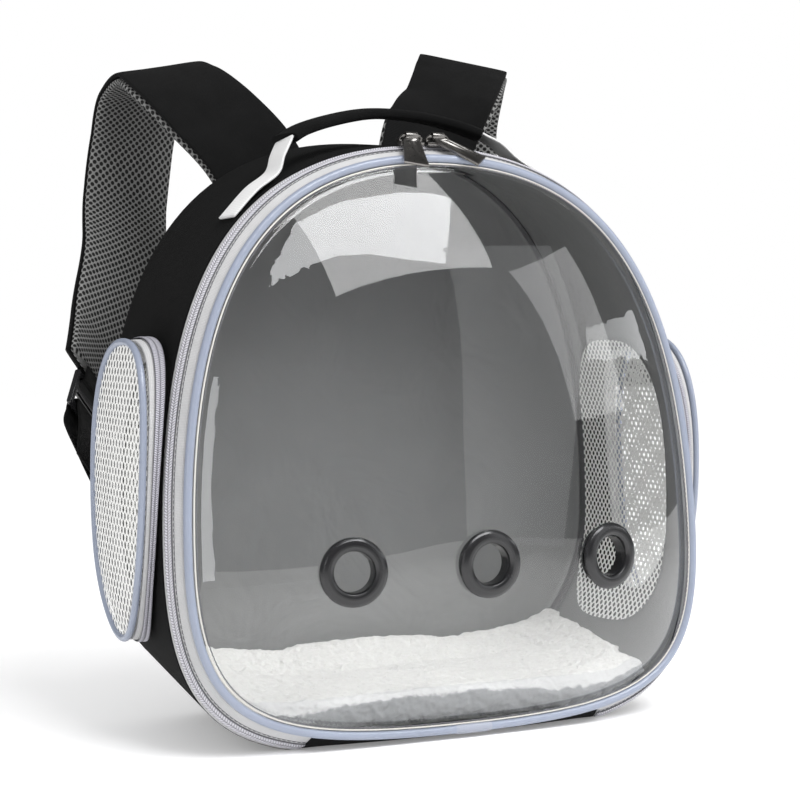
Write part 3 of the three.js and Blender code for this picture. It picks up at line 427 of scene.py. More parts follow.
def satin(name, colour, roughness, fold, fold_size, sheen=0.1):
    """A smooth cloth with soft folds and a faint mottle, read in object coordinates."""
    material, tree, shader = new_material(name, colour, roughness)
    place = node(tree, "ShaderNodeTexCoord").outputs["Object"]
    mottle = node(tree, "ShaderNodeTexNoise", {"Vector": place, "Scale": 30, "Detail": 5, "Roughness": 0.6})
    dark = tuple(c * 0.86 for c in colour)
    blend = node(
        tree, "ShaderNodeMix", {0: mottle.outputs["Fac"], 6: (*dark, 1), 7: (*colour, 1)}, data_type="RGBA"
    )
    tree.links.new(blend.outputs[2], shader.inputs["Base Color"])
    folds = node(
        tree, "ShaderNodeTexNoise",
        {"Vector": place, "Scale": fold_size, "Detail": 3, "Distortion": 1.2},
    )
    grain = node(tree, "ShaderNodeTexNoise", {"Vector": place, "Scale": 900, "Detail": 2})
    soft = node(tree, "ShaderNodeBump", {"Strength": fold, "Distance": 0.01, "Height": folds.outputs["Fac"]})
    fine = node(
        tree, "ShaderNodeBump",
        {
            "Strength": 0.25, "Distance": 0.0004,
            "Height": grain.outputs["Fac"], "Normal": soft.outputs["Normal"],
        },
    )
    tree.links.new(fine.outputs["Normal"], shader.inputs["Normal"])
    shader.inputs["Sheen Weight"].default_value = sheen
    shader.inputs["Specular IOR Level"].default_value = 0.3
    return material


grey_satin = satin("grey_satin_lining", (0.145, 0.147, 0.146), 0.55, 0.35, 14, 0.02)
lining = bent_sheet("lining_cloth", 145, 42, cover_point(LINING_INSET), (1.10, 0.29), closed=True)
faces_out(lining)
finish_with(lining, "SOLIDIFY", thickness=LINING_WALL, offset=-1)
cut_side_windows(lining, window_outline, 48)
settle(lining, grey_satin, "carrier", "grey_lining", "lining")

SEAM_BAND, SEAM_ROLL = 0.0085, 0.0014


def seam_point(u, v):
    """The bound seam lies on the sides, along the back corner."""
    spot = body_point(u, 0.962 - v * SEAM_BAND / 0.135, 0.0045 + SEAM_ROLL * math.sin(v * math.pi))
    return spot


seam = bent_sheet("lining_seam_binding", 181, 9, seam_point, (1.08, SEAM_BAND), closed=True)
settle(seam, satin("seam_binding", (0.055, 0.055, 0.057), 0.5, 0.2, 60, 0.0), "carrier", "grey_lining")

# Back pad: foam under air mesh on the outside of the back, quilted by three vertical seams.
PAD_HALF, PAD_LOW, PAD_HIGH = 0.144, 0.036, 0.294
pad_at = arch(PAD_HALF, PAD_LOW, PAD_HIGH, 0.130, 0.75, 0.3)
PAD_SEAMS = (-0.062, 0.0, 0.062)


def pad_point(u, v):
    """The pad's skin, from its flat underside's middle round the edge to the middle of its face."""
    middle = (PAD_LOW + PAD_HIGH) / 2
    low, high = BACK + 0.0005, BACK + 0.0115
    if v < 0.3:
        share, x_z = v / 0.3, pad_at(u)
        return Vector((x_z[0] * share, low, middle + (x_z[1] - middle) * share))
    share = (v - 0.3) / 0.7
    x, z = pad_at(u)
    swell = 1 - (1 - share) ** 5
    reach = 1 - share
    x, z = x * reach, middle + (z - middle) * reach
    dip = sum(math.exp(-(((x - seam_x) / 0.0055) ** 2)) for seam_x in PAD_SEAMS)
    y = low + (high - low) * swell * (1 - 0.45 * min(dip, 1) * min(share * 6, 1))
    return Vector((x, y, z))


def air_mesh(name, colour, hole, pitch, spread):
    """A knitted spacer mesh with staggered round holes, painted dark inside as shade."""
    material, tree, shader = new_material(name, colour, 0.8)
    place = node(tree, "ShaderNodeTexCoord").outputs["UV"]
    group = node(tree, "ShaderNodeGroup", node_tree=holes)
    tree.links.new(place, group.inputs["Vector"])
    group.inputs["Across"].default_value = pitch
    group.inputs["Along"].default_value = pitch * spread
    group.inputs["Hole"].default_value = hole
    # Painted shade: the holes take a near-black version of the mesh colour.
    dark = tuple(c * 0.06 for c in colour)
    blend = node(
        tree, "ShaderNodeMix", {0: group.outputs["Mask"], 6: (*dark, 1), 7: (*colour, 1)}, data_type="RGBA"
    )
    tree.links.new(blend.outputs[2], shader.inputs["Base Color"])
    relief = node(
        tree, "ShaderNodeBump", {"Strength": 0.8, "Distance": 0.0012, "Height": group.outputs["Mask"]}
    )
    tree.links.new(relief.outputs["Normal"], shader.inputs["Normal"])
    shader.inputs["Specular IOR Level"].default_value = 0.2
    return material


# Staggered round or oval holes: the mask is 0 in a hole and 1 on the threads between them.
holes = bpy.data.node_groups.new("staggered_holes", "ShaderNodeTree")
for label, way, kind in (
    ("Vector", "INPUT", "NodeSocketVector"), ("Across", "INPUT", "NodeSocketFloat"),
    ("Along", "INPUT", "NodeSocketFloat"), ("Hole", "INPUT", "NodeSocketFloat"),
    ("Mask", "OUTPUT", "NodeSocketFloat"),
):
    holes.interface.new_socket(label, in_out=way, socket_type=kind)
holes_in = node(holes, "NodeGroupInput")
holes_out = node(holes, "NodeGroupOutput")
holes_axes = node(holes, "ShaderNodeSeparateXYZ", {0: holes_in.outputs["Vector"]})


def hole_math(operation, *values, **settings):
    return node(holes, "ShaderNodeMath", dict(enumerate(values)), operation=operation, **settings).outputs[0]


def hole_distance(shift):
    """How far a point is from the nearest hole's middle, in shares of the pitch."""
    squares = []
    for axis, pitch in ((0, "Across"), (1, "Along")):
        cells = hole_math("DIVIDE", holes_axes.outputs[axis], holes_in.outputs[pitch])
        moved = hole_math("ADD", cells, shift)
        centred = hole_math("SUBTRACT", hole_math("FRACT", moved), 0.5)
        squares.append(hole_math("MULTIPLY", centred, centred))
    return hole_math("SQRT", hole_math("ADD", *squares))


nearest = hole_math("MINIMUM", hole_distance(0.0), hole_distance(0.5))
edge_low = hole_math("MULTIPLY", holes_in.outputs["Hole"], 0.85)
past_edge = hole_math("SUBTRACT", nearest, edge_low)
edge_width = hole_math("MULTIPLY", holes_in.outputs["Hole"], 0.3)
mask = hole_math("DIVIDE", past_edge, edge_width, use_clamp=True)
holes.links.new(mask, holes_out.inputs["Mask"])

back_pad = bent_sheet("back_pad_quilt", 121, 44, pad_point, (0.9, 0.36), closed=True)
faces_out(back_pad)
pad_mesh = air_mesh("black_air_mesh", (0.035, 0.035, 0.036), 0.28, 0.0032, 1.2)
settle(back_pad, pad_mesh, "carrier", "black_cloth", "back_pad")

# Mat: a plush pad over foam that follows the floor and turns up a little at the back. Its upper front edge
# is bound with a pale tape, and its front side is grey cloth.
mat = copy_of("floor_pad", "floor_mat_plush")
finish_with(mat, "REMESH", mode="VOXEL", voxel_size=0.0045)
finish_with(mat, "SMOOTH", factor=0.6, iterations=5)
start = [vertex.co.copy() for vertex in mat.data.vertices]
cloth = mat.modifiers.new("cloth", "CLOTH")
cloth.settings.use_pressure = True
cloth.settings.uniform_pressure_force = 4
cloth.settings.effector_weights.gravity = 0
cloth.settings.tension_stiffness = 25
cloth.settings.compression_stiffness = 25
for step in range(1, 13):
    bpy.context.scene.frame_set(step)
bpy.ops.object.modifier_apply(modifier="cloth")
MOST_SWELL = 0.003
for vertex, place in zip(mat.data.vertices, start):
    moved = vertex.co - place
    if moved.length > MOST_SWELL:
        vertex.co = place + moved.normalized() * MOST_SWELL
bpy.context.scene.frame_set(1)
finish_with(mat, "SUBSURF", levels=2, render_levels=2)
for name, size, strength in (("plush_tufts", 0.006, 0.0028), ("plush_pile", 0.0018, 0.0012)):
    pile = bpy.data.textures.new(name, "CLOUDS")
    pile.noise_scale = size
    finish_with(mat, "DISPLACE", texture=pile, strength=strength, mid_level=0.6, texture_coords="LOCAL")
bpy.ops.object.shade_smooth()

plush, plush_tree, plush_shader = new_material("white_plush", (0.88, 0.875, 0.855), 0.95)
plush_place = node(plush_tree, "ShaderNodeTexCoord").outputs["Object"]
# Painted shade: the same noise drives the pile's bump and its colour, so the low places between the tufts are
# darker.
plush_noise = node(
    plush_tree, "ShaderNodeTexNoise", {"Vector": plush_place, "Scale": 420, "Detail": 4, "Roughness": 0.7}
)
plush_shaded_pile = node(
    plush_tree, "ShaderNodeMix",
    {0: plush_noise.outputs["Fac"], 6: (0.38, 0.376, 0.362, 1), 7: (0.60, 0.596, 0.582, 1)}, data_type="RGBA",
)
plush_bump = node(
    plush_tree, "ShaderNodeBump", {"Strength": 0.9, "Distance": 0.0015, "Height": plush_noise.outputs["Fac"]}
)
plush_axes = node(plush_tree, "ShaderNodeSeparateXYZ", {0: plush_place})
bound = node(plush_tree, "ShaderNodeMapRange", {0: plush_axes.outputs[1], 1: -0.0475, 2: -0.0465})
foam_side = node(plush_tree, "ShaderNodeMapRange", {0: plush_axes.outputs[1], 1: -0.0545, 2: -0.0535})
bound_blend = node(
    plush_tree, "ShaderNodeMix", {0: bound.outputs[0], 6: (0.40, 0.40, 0.40, 1), 7: plush_shaded_pile.outputs[2]},
    data_type="RGBA",
)
side_blend = node(
    plush_tree, "ShaderNodeMix",
    {0: foam_side.outputs[0], 6: (0.16, 0.165, 0.17, 1), 7: bound_blend.outputs[2]}, data_type="RGBA",
)
plush_tree.links.new(bound.outputs[0], plush_bump.inputs["Strength"])
plush_tree.links.new(side_blend.outputs[2], plush_shader.inputs["Base Color"])
plush_tree.links.new(plush_bump.outputs["Normal"], plush_shader.inputs["Normal"])
plush_shader.inputs["Sheen Weight"].default_value = 0.2
settle(mat, plush, "carrier", "plush", "floor_pad")

# Door: a zip gusset joins the window's frame to the cover. It is pale woven tape on both sides of a
# reversed coil chain, and it ends at a black cloth hinge under the window.
PIPING_RADIUS = 0.0026
CHAIN_AT, CHAIN_WIDTH = 0.56, 0.0073
CROWN = 0.0018


def band_point(share, across, lift=0.0):
    """A point of the gusset, from the frame's edge at 0 to the cover's edge at 1."""
    x, z = rim_at(share, -0.0015 - lift)
    edge = body_point(share, 0, 0.0003 - lift) + Vector((0, -0.0004, 0))
    crown = rim_at(share, -4 * across * (1 - across) * CROWN)
    plain = rim_at(share)
    start = Vector((x, rim_y(z) + PIPING_RADIUS + 0.00015, z))
    spot = start.lerp(edge, across)
    return spot + Vector((crown[0] - plain[0], 0, crown[1] - plain[1]))


HINGE_HALF = 0.0995
hinge_share = next(k / 4000 for k in range(2000) if rim_at(k / 4000)[0] >= HINGE_HALF)
band_length = rim_at.length * (1 - 2 * hinge_share)


def door_share(u):
    return hinge_share + (1 - 2 * hinge_share) * u


lilac_tape = woven("pale_lilac_tape", (0.42, 0.42, 0.425), (0.68, 0.675, 0.68), 0.7, 0.0009, 0.6)
band = bent_sheet(
    "door_band_tape", 321, 11, lambda u, v: band_point(door_share(u), v), (band_length, DOOR_DEPTH)
)
faces_out(band)
finish_with(band, "SOLIDIFY", thickness=0.0016, offset=-1)
settle(band, lilac_tape, "carrier", "lilac_tape", "door_zip_band")


def coil_finish(name, colour, groove, pitch, width):
    """A reversed nylon coil: slanted ribs on both sides of a groove, read from the UV map in metres. The
    groove colour is painted shade: the colour darkens with the ribs' height down into the groove.
    """
    material, tree, shader = new_material(name, colour, 0.38)
    place = node(tree, "ShaderNodeTexCoord").outputs["UV"]
    split = node(tree, "ShaderNodeSeparateXYZ", {0: place})

    def calc(operation, *values, **settings):
        made = node(tree, "ShaderNodeMath", dict(enumerate(values)), operation=operation, **settings)
        return made.outputs[0]

    off = calc("ABSOLUTE", calc("SUBTRACT", split.outputs[1], width / 2))
    slant = calc("ADD", split.outputs[0], calc("MULTIPLY", off, 0.5))
    ribs = calc("ABSOLUTE", calc("SINE", calc("MULTIPLY", slant, math.pi / pitch)))
    middle = calc("DIVIDE", off, width * 0.1, use_clamp=True)
    edge = calc("DIVIDE", calc("SUBTRACT", width * 0.46, off), width * 0.06, use_clamp=True)
    height = calc("MULTIPLY", calc("MULTIPLY", ribs, middle), edge)
    # Painted shade: the colour goes from the coil's own colour on the ribs' tops to the groove colour in the
    # low places.
    painted_shade_tone = calc("POWER", height, 0.6)
    blend = node(tree, "ShaderNodeMix", {0: painted_shade_tone, 6: (*groove, 1), 7: (*colour, 1)}, data_type="RGBA")
    tree.links.new(blend.outputs[2], shader.inputs["Base Color"])
    relief = node(tree, "ShaderNodeBump", {"Strength": 0.9, "Distance": 0.0006, "Height": height})
    tree.links.new(relief.outputs["Normal"], shader.inputs["Normal"])
    return material


# The second colour is the painted shade of the groove and of the gaps between the ribs.
coil_paint = coil_finish("door_coil", (0.62, 0.61, 0.66), (0.10, 0.10, 0.11), 0.0016, CHAIN_WIDTH)


def chain_point(u, v):
    across = CHAIN_AT + (v - 0.5) * CHAIN_WIDTH / DOOR_DEPTH
    bead = 0.0007 * math.sqrt(abs(math.sin(2 * math.pi * v)))
    return band_point(door_share(u), across, 0.0005 + bead)


chain = bent_sheet("door_zip_coil", 321, 13, chain_point, (band_length, CHAIN_WIDTH))
faces_out(chain)
finish_with(chain, "SOLIDIFY", thickness=0.0004, offset=-1)
settle(chain, coil_paint, "carrier", "zip_coil", "door_zip_chain")

STITCH, THREAD = 0.0032, 0.00035


def stitches(name, spot, length, material, slot_name, steps=5):
    """A row of sewing along spot(u), which gives the thread's place on the cloth and the way out of it."""
    count = round(length / STITCH)

    def place(u, v):
        centre, out = spot(u)
        ahead = spot(u + 0.0005)[0] - spot(u - 0.0005)[0]
        side = out.cross(ahead).normalized()
        beat = abs(math.sin(u * count * math.pi))
        angle = v * 2 * math.pi
        lift = out * (THREAD * (math.sin(angle) + 1.8 * beat - 1.3))
        return centre + lift + side * (THREAD * math.cos(angle))

    row = bent_sheet(name, count * steps + 1, 7, place, (length, THREAD * 6), closed=True)
    faces_out(row)
    settle(row, material, "carrier", slot_name)


def band_spot(across):
    def spot(u):
        share = door_share(u)
        low = band_point(share, across)
        return low, (band_point(share, across, 0.001) - low).normalized()

    return spot


shadow_thread, _, _ = new_material("shadow_thread", (0.12, 0.12, 0.13), 0.8)
SEW_GAP = (CHAIN_WIDTH / 2 + 0.0009) / DOOR_DEPTH
for label, across in (("inner", CHAIN_AT - SEW_GAP), ("outer", CHAIN_AT + SEW_GAP)):
    stitches(f"door_zip_stitching_{label}", band_spot(across), band_length, shadow_thread, "lilac_tape")

hinge_strip = bent_sheet(
    "door_hinge_cloth", 61, 7,
    lambda u, v: band_point((u * 2 - 1) * (hinge_share - 0.0004), v), (0.2, DOOR_DEPTH),
)
faces_out(hinge_strip)
finish_with(hinge_strip, "SOLIDIFY", thickness=0.0016, offset=-1)
settle(hinge_strip, black_cloth, "carrier", "black_cloth", "door_hinge_strip")

# Piping: a satin cord covered in blue-grey vinyl, sewn round the window's edge, with a short sleeve
# over its joint at the bottom.
RIM_NORMAL = Vector((0, -math.cos(math.radians(5)), math.sin(math.radians(5))))


def rim_point(share, inset=0.0):
    x, z = rim_at(share, inset)
    return Vector((x, rim_y(z), z))


def tube_point(share, angle, radius):
    centre = rim_point(share)
    outwards = (rim_point(share, -0.001) - centre).normalized()
    return centre + outwards * (radius * math.cos(angle)) + RIM_NORMAL * (radius * math.sin(angle))


blue_cord = satin("blue_grey_piping", (0.25, 0.28, 0.355), 0.3, 0.1, 60, 0.0)
blue_cord.node_tree.nodes["Principled BSDF"].inputs["Specular IOR Level"].default_value = 0.6
piping = bent_sheet(
    "door_piping_cord", 321, 17, lambda u, v: tube_point(u, v * 2 * math.pi, PIPING_RADIUS),
    (rim_at.length, 0.016), closed=True,
)
faces_out(piping)
settle(piping, blue_cord, "carrier", "blue_piping", "door_piping")
SLEEVE_FROM, SLEEVE_TO, SLEEVE_RADIUS = -0.006, 0.019, 0.0031


def sleeve_point(u, v):
    share = (SLEEVE_FROM + (SLEEVE_TO - SLEEVE_FROM) * u) / rim_at.length
    pinch = 1 - 0.15 * abs(2 * u - 1) ** 8
    return tube_point(share, v * 2 * math.pi, SLEEVE_RADIUS * pinch)


sleeve = bent_sheet("door_piping_sleeve", 25, 21, sleeve_point, (0.025, 0.019), closed=True)
faces_out(sleeve)
settle(sleeve, satin("sleeve_vinyl", (0.30, 0.32, 0.38), 0.4, 0.1, 80), "carrier", "blue_piping")

# Window: a clear bulged sheet with a flat flange, held under a pale edge tape inside the piping.
DOME_INSET, DOME_FLANGE, DOME_SHARE, DOME_BULGE, DOME_SHEET = 0.0032, 0.0016, 0.975, 0.040, 0.0016
dome_centre = Vector((0, rim_y(0.150), 0.150))


def dome_height(ratio, flange=True):
    """The window's height over the rim's plane. Without its flange, the bulge runs on to the edge."""
    if flange and ratio > DOME_SHARE:
        return DOME_FLANGE * (1 - ratio) / (1 - DOME_SHARE)
    return DOME_FLANGE + DOME_BULGE * (1 - (ratio / DOME_SHARE) ** 3)


def dome_point(share, ratio, drop=0.0):
    edge = rim_point(share, DOME_INSET)
    return dome_centre.lerp(edge, ratio) + RIM_NORMAL * (dome_height(ratio) - drop)


clear_sheet, clear_tree, clear_shader = new_material("clear_window_sheet", (1, 1, 1), 0.02)
clear_shader.inputs["Transmission Weight"].default_value = 1.0
clear_shader.inputs["IOR"].default_value = 1.45
clear_rays = node(clear_tree, "ShaderNodeLightPath")
clear_open = node(clear_tree, "ShaderNodeBsdfTransparent", {"Color": (0.98, 0.985, 0.985, 1)})
clear_mix = node(
    clear_tree, "ShaderNodeMixShader",
    {0: clear_rays.outputs["Is Shadow Ray"], 1: clear_shader.outputs[0], 2: clear_open.outputs[0]},
)
clear_out = clear_tree.nodes["Material Output"]
clear_tree.links.new(clear_mix.outputs[0], clear_out.inputs["Surface"])

dome = bent_sheet(
    "window_sheet", 181, 61, lambda u, v: dome_point(u, 1 - v**1.6, DOME_SHEET), (1.0, 0.2), closed=True
)
faces_out(dome)
grommets = {"left": -0.0875, "centre": 0.0, "right": 0.0875}
GROMMET_HEIGHT = 0.108
rim_ring = [rim_point(k / 720, DOME_INSET) - dome_centre for k in range(720)]


def on_dome(x, z, flange=True):
    """The window's outside in front of a place on the rim's plane."""
    flat = Vector((x, rim_y(z), z)) - dome_centre
    edge = max(rim_ring, key=lambda spot: spot.normalized().dot(flat.normalized()))
    return dome_centre + flat + RIM_NORMAL * dome_height(flat.length / edge.length, flange)


def dome_facing(x, z, flange=True, probe=0.006):
    """The way out of the window at a place."""
    across = on_dome(x + probe, z, flange) - on_dome(x - probe, z, flange)
    return across.cross(on_dome(x, z + probe, flange) - on_dome(x, z - probe, flange)).normalized()


def seat_of(x):
    """Where an eyelet sits, and the turn that points its axis out of the window."""
    turn = Vector((0, 0, 1)).rotation_difference(dome_facing(x, GROMMET_HEIGHT))
    return Matrix.LocRotScale(on_dome(x, GROMMET_HEIGHT), turn, None)


finish_with(dome, "SOLIDIFY", thickness=DOME_SHEET * 0.5, offset=1)
for x in grommets.values():
    bpy.ops.object.select_all(action="DESELECT")
    bpy.ops.mesh.primitive_cylinder_add(vertices=48, radius=0.0145, depth=0.024)
    punch = bpy.context.object
    punch.matrix_world = seat_of(x)
    finish_with(dome, "BOOLEAN", object=punch, operation="DIFFERENCE", solver="EXACT")
    bpy.data.objects.remove(punch)
settle(dome, clear_sheet, "carrier", "clear_sheet", "dome_window")

# The window's edge is sewn under a thin cream tape inside the piping.
EDGE_TAPE, EDGE_TAPE_AT = 0.0011, 0.0030


def edge_tape_point(u, v):
    inset = EDGE_TAPE_AT + EDGE_TAPE * v
    return rim_point(u, inset) + RIM_NORMAL * (0.0012 + 0.0007 * math.sin(v * math.pi))


edge_tape = bent_sheet("window_edge_tape", 321, 7, edge_tape_point, (rim_at.length, EDGE_TAPE), closed=True)
settle(edge_tape, satin("cream_tape", (0.66, 0.64, 0.60), 0.5, 0.1, 80), "carrier", "lilac_tape")
stitches(
    "window_edge_stitching",
    lambda u: (rim_point(u, EDGE_TAPE_AT + EDGE_TAPE + 0.0007) + RIM_NORMAL * 0.0019, RIM_NORMAL),
    rim_at.length, shadow_thread, "black_cloth",
)

# Mirror cards: white boards out in the studio. Each is bent so that the window mirrors it over one patch.
# The patch is given by two opposite edges, as places (across, up) on the window in millimetres.
MIRROR_REACH = 2.4
MIRROR_CARDS = {
    "key_board": (
        11.0, [(-121, 276), (-104, 285), (-83, 293), (-62, 294), (-34, 290), (-14, 288)],
        [(-119, 285), (-101, 314), (-72, 327), (-33, 333), (-12, 333), (0, 330)],
    ),
    "left_board": (
        7.0, [(-162, 225), (-164, 211), (-166, 165), (-167, 119), (-165, 84)],
        [(-153, 222), (-155, 209), (-161, 165), (-162, 119), (-160, 84)],
    ),
    "front_board": (
        1.5, [(-15, 299), (-11, 276), (-11, 242), (-14, 182), (-14, 111)],
        [(65, 301), (72, 267), (76, 238), (65, 180), (50, 101)],
    ),
    "right_board": (3.8, [(82, 249), (129, 260)], [(80, 229), (139, 231)]),
}


def mirror_card(name, strength, first, second):
    """A glowing board that only mirrors see."""
    spots = np.linspace(0, 1, len(first))
    edges = [np.array(edge) / 1000 for edge in (first, second)]

    def place(u, v):
        ends = [np.array([np.interp(u, spots, edge[:, k]) for k in (0, 1)]) for edge in edges]
        x, z = ends[0] * (1 - v) + ends[1] * v
        spot = on_dome(x, z, False)
        facing = dome_facing(x, z, False)
        sight = (spot - camera.location).normalized()
        return spot + (sight - facing * (2 * sight.dot(facing))) * MIRROR_REACH

    card = bent_sheet(name, 8 * len(first), 10, place, (1, 1))
    paint, _, shader = new_material(f"{name}_glow", (0, 0, 0), 1.0)
    shader.inputs["Specular IOR Level"].default_value = 0
    shader.inputs["Emission Color"].default_value = (0.97, 0.985, 1, 1)
    shader.inputs["Emission Strength"].default_value = strength
    card.data.materials.append(paint)
    card.visible_camera = False
    card.visible_diffuse = False
    card.visible_shadow = False
    card.visible_transmission = False


for name, card in MIRROR_CARDS.items():
    mirror_card(name, *card)

# Eyelets: glossy black moulded rings, snapped through the window's vent holes.
GROMMET_PROFILE = [
    (12.0, -6.0), (12.0, -1.0), (12.1, 2.2), (12.9, 3.8), (14.6, 4.5), (16.4, 4.5), (18.6, 3.9), (20.2, 2.7),
    (20.7, 1.2), (20.5, 0.3), (14.0, 0.3), (14.0, -4.6), (17.6, -4.6), (18.0, -5.2), (17.6, -6.0),
    (12.0, -6.0),
]
black_gloss, gloss_tree, gloss_shader = new_material("black_moulding", (0.012, 0.012, 0.013), 0.22)
gloss_place = node(gloss_tree, "ShaderNodeTexCoord").outputs["Object"]
gloss_noise = node(gloss_tree, "ShaderNodeTexNoise", {"Vector": gloss_place, "Scale": 160, "Detail": 4})
gloss_range = node(
    gloss_tree, "ShaderNodeMapRange", {0: gloss_noise.outputs["Fac"], 3: 0.16, 4: 0.32}
)
gloss_tree.links.new(gloss_range.outputs[0], gloss_shader.inputs["Roughness"])
for name, x in grommets.items():
    seat = seat_of(x)
    radii, heights = (np.array(column) / 1000 for column in zip(*GROMMET_PROFILE))
    spots = np.linspace(0, 1, len(radii))

    def ring_point(u, v, seat=seat, radii=radii, heights=heights, spots=spots):
        radius, height = np.interp(v, spots, radii), np.interp(v, spots, heights)
        angle = u * 2 * math.pi
        return seat @ Vector((radius * math.cos(angle), radius * math.sin(angle), height))

    ring = bent_sheet(f"eyelet_{name}", 73, 61, ring_point, (0.12, 0.04), closed=True)
    faces_out(ring)
    bpy.ops.object.shade_smooth_by_angle(angle=math.radians(50))
    settle(ring, black_gloss, "carrier", "gloss_black", f"grommet_{name}")

# Side pockets: a pale gusset with its own zip, blue-grey piping round the face, and a white net face. The
# lining has a second net behind each opening.
POCKET_STAND, POCKET_NECK, POCKET_BULGE, FLATTER = 0.0095, 0.008, 0.0008, 0.5
POCKET_PIPING, POCKET_CHAIN = 0.0022, 0.0046
side_width = wall_x(0, RIM["widest"])
GUSSET_PROFILE = [(-0.0022, POCKET_NECK), (0.0013, POCKET_NECK), (0.0038, -POCKET_BULGE), (POCKET_STAND, 0.0)]


def net_finish(name, colour, pitch, spread, hole):
    """A white knitted net: its holes are cut through by alpha, read in the plane of Y and Z."""
    material, tree, shader = new_material(name, colour, 0.75)
    place = node(tree, "ShaderNodeTexCoord").outputs["Object"]
    split = node(tree, "ShaderNodeSeparateXYZ", {0: place})
    flat = node(tree, "ShaderNodeCombineXYZ", {0: split.outputs[1], 1: split.outputs[2]})
    group = node(tree, "ShaderNodeGroup", node_tree=holes)
    tree.links.new(flat.outputs[0], group.inputs["Vector"])
    group.inputs["Across"].default_value = pitch
    group.inputs["Along"].default_value = pitch * spread
    group.inputs["Hole"].default_value = hole
    tree.links.new(group.outputs["Mask"], shader.inputs["Alpha"])
    noise = node(tree, "ShaderNodeTexNoise", {"Vector": place, "Scale": 1500, "Detail": 2})
    dark = tuple(c * 0.8 for c in colour)
    blend = node(
        tree, "ShaderNodeMix", {0: noise.outputs["Fac"], 6: (*dark, 1), 7: (*colour, 1)}, data_type="RGBA"
    )
    tree.links.new(blend.outputs[2], shader.inputs["Base Color"])
    relief = node(
        tree, "ShaderNodeBump", {"Strength": 0.7, "Distance": 0.0006, "Height": group.outputs["Mask"]}
    )
    tree.links.new(relief.outputs["Normal"], shader.inputs["Normal"])
    return material


pocket_net_paint = net_finish("pocket_net", (0.80, 0.80, 0.78), 0.0055, 1.55, 0.24)
inner_net_paint = net_finish("inner_net", (0.78, 0.78, 0.76), 0.0046, 1.3, 0.25)
# The pocket coil's second colour is painted shade in its groove and between its ribs, as on the door's coil.
pocket_coil = coil_finish("pocket_coil", (0.50, 0.49, 0.55), (0.08, 0.08, 0.09), 0.0013, POCKET_CHAIN)
pocket_length = pocket_at.length
for name, side in (("left", -1), ("right", 1)):

    def wall_place(y, z, out, side=side):
        wall = wall_x(y, z)
        proud = max(out, 0) / POCKET_STAND
        return Vector((side * (wall + out + FLATTER * proud * (side_width - wall)), y, z))

    def gusset_point(u, v, place=wall_place):
        spots = np.linspace(0, 1, len(GUSSET_PROFILE))
        out, inset = (np.interp(v, spots, column) for column in zip(*GUSSET_PROFILE))
        return place(*pocket_outline(u, inset), out)

    gusset = bent_sheet(
        f"pocket_gusset_cloth_{name}", 121, 13, gusset_point, (pocket_length, 0.018), closed=True
    )
    faces_out(gusset)
    finish_with(gusset, "SOLIDIFY", thickness=0.0014, offset=-1)
    settle(gusset, lilac_tape, "carrier", "lilac_tape", f"pocket_gusset_{name}")

    def pocket_chain_point(u, v, place=wall_place):
        out = POCKET_STAND * 0.5 + (v - 0.5) * POCKET_CHAIN
        bead = 0.0007 * math.sqrt(abs(math.sin(2 * math.pi * v)))
        return place(*pocket_outline(u, -POCKET_BULGE - 0.0005 - bead), out)

    coil = bent_sheet(
        f"pocket_coil_{name}", 161, 13, pocket_chain_point, (pocket_length, POCKET_CHAIN), closed=True
    )
    faces_out(coil)
    settle(coil, pocket_coil, "carrier", "zip_coil", f"pocket_zip_chain_{name}")

    CORD_OUT = POCKET_STAND + POCKET_PIPING + 0.0003

    def pocket_cord_point(u, v, place=wall_place, side=side):
        centre = place(*pocket_outline(u, POCKET_PIPING * 0.5), CORD_OUT)
        outer = place(*pocket_outline(u, 0), CORD_OUT)
        outwards = Vector((0, outer.y - centre.y, outer.z - centre.z)).normalized()
        angle = v * 2 * math.pi
        normal = Vector((side, 0, 0))
        return centre + (outwards * math.cos(angle) + normal * math.sin(angle)) * POCKET_PIPING

    cord = bent_sheet(
        f"pocket_piping_cord_{name}", 161, 13, pocket_cord_point, (pocket_length, 0.014), closed=True
    )
    faces_out(cord)
    settle(cord, blue_cord, "carrier", "blue_piping", f"pocket_piping_{name}")

    NET_PUFF = 0.0015

    def net_point(u, v, place=wall_place):
        y0, z0 = POCKET_CENTRE, 0.156
        y, z = pocket_outline(u, POCKET_PIPING * 0.9)
        return place(y0 + (y - y0) * v, z0 + (z - z0) * v, CORD_OUT + NET_PUFF * (1 - v * v))

    net = bent_sheet(f"pocket_net_face_{name}", 97, 21, net_point, (0.5, 0.1), closed=True)
    faces_out(net)
    settle(net, pocket_net_paint, "carrier", "white_net", f"pocket_net_{name}")

    def inner_point(u, v, side=side):
        y0, z0 = (WINDOW_FRONT + WINDOW_REAR) / 2, (WINDOW_LOW + WINDOW_HIGH) / 2
        y, z = window_outline(u, -0.002)
        y, z = y0 + (y - y0) * v, z0 + (z - z0) * v
        return Vector((side * (wall_x(y, z) - 0.0046), y, z))

    inner = bent_sheet(f"inner_net_skin_{name}", 97, 21, inner_point, (0.5, 0.1), closed=True)
    faces_out(inner)
    settle(inner, inner_net_paint, "carrier", "white_net", f"inner_net_{name}")

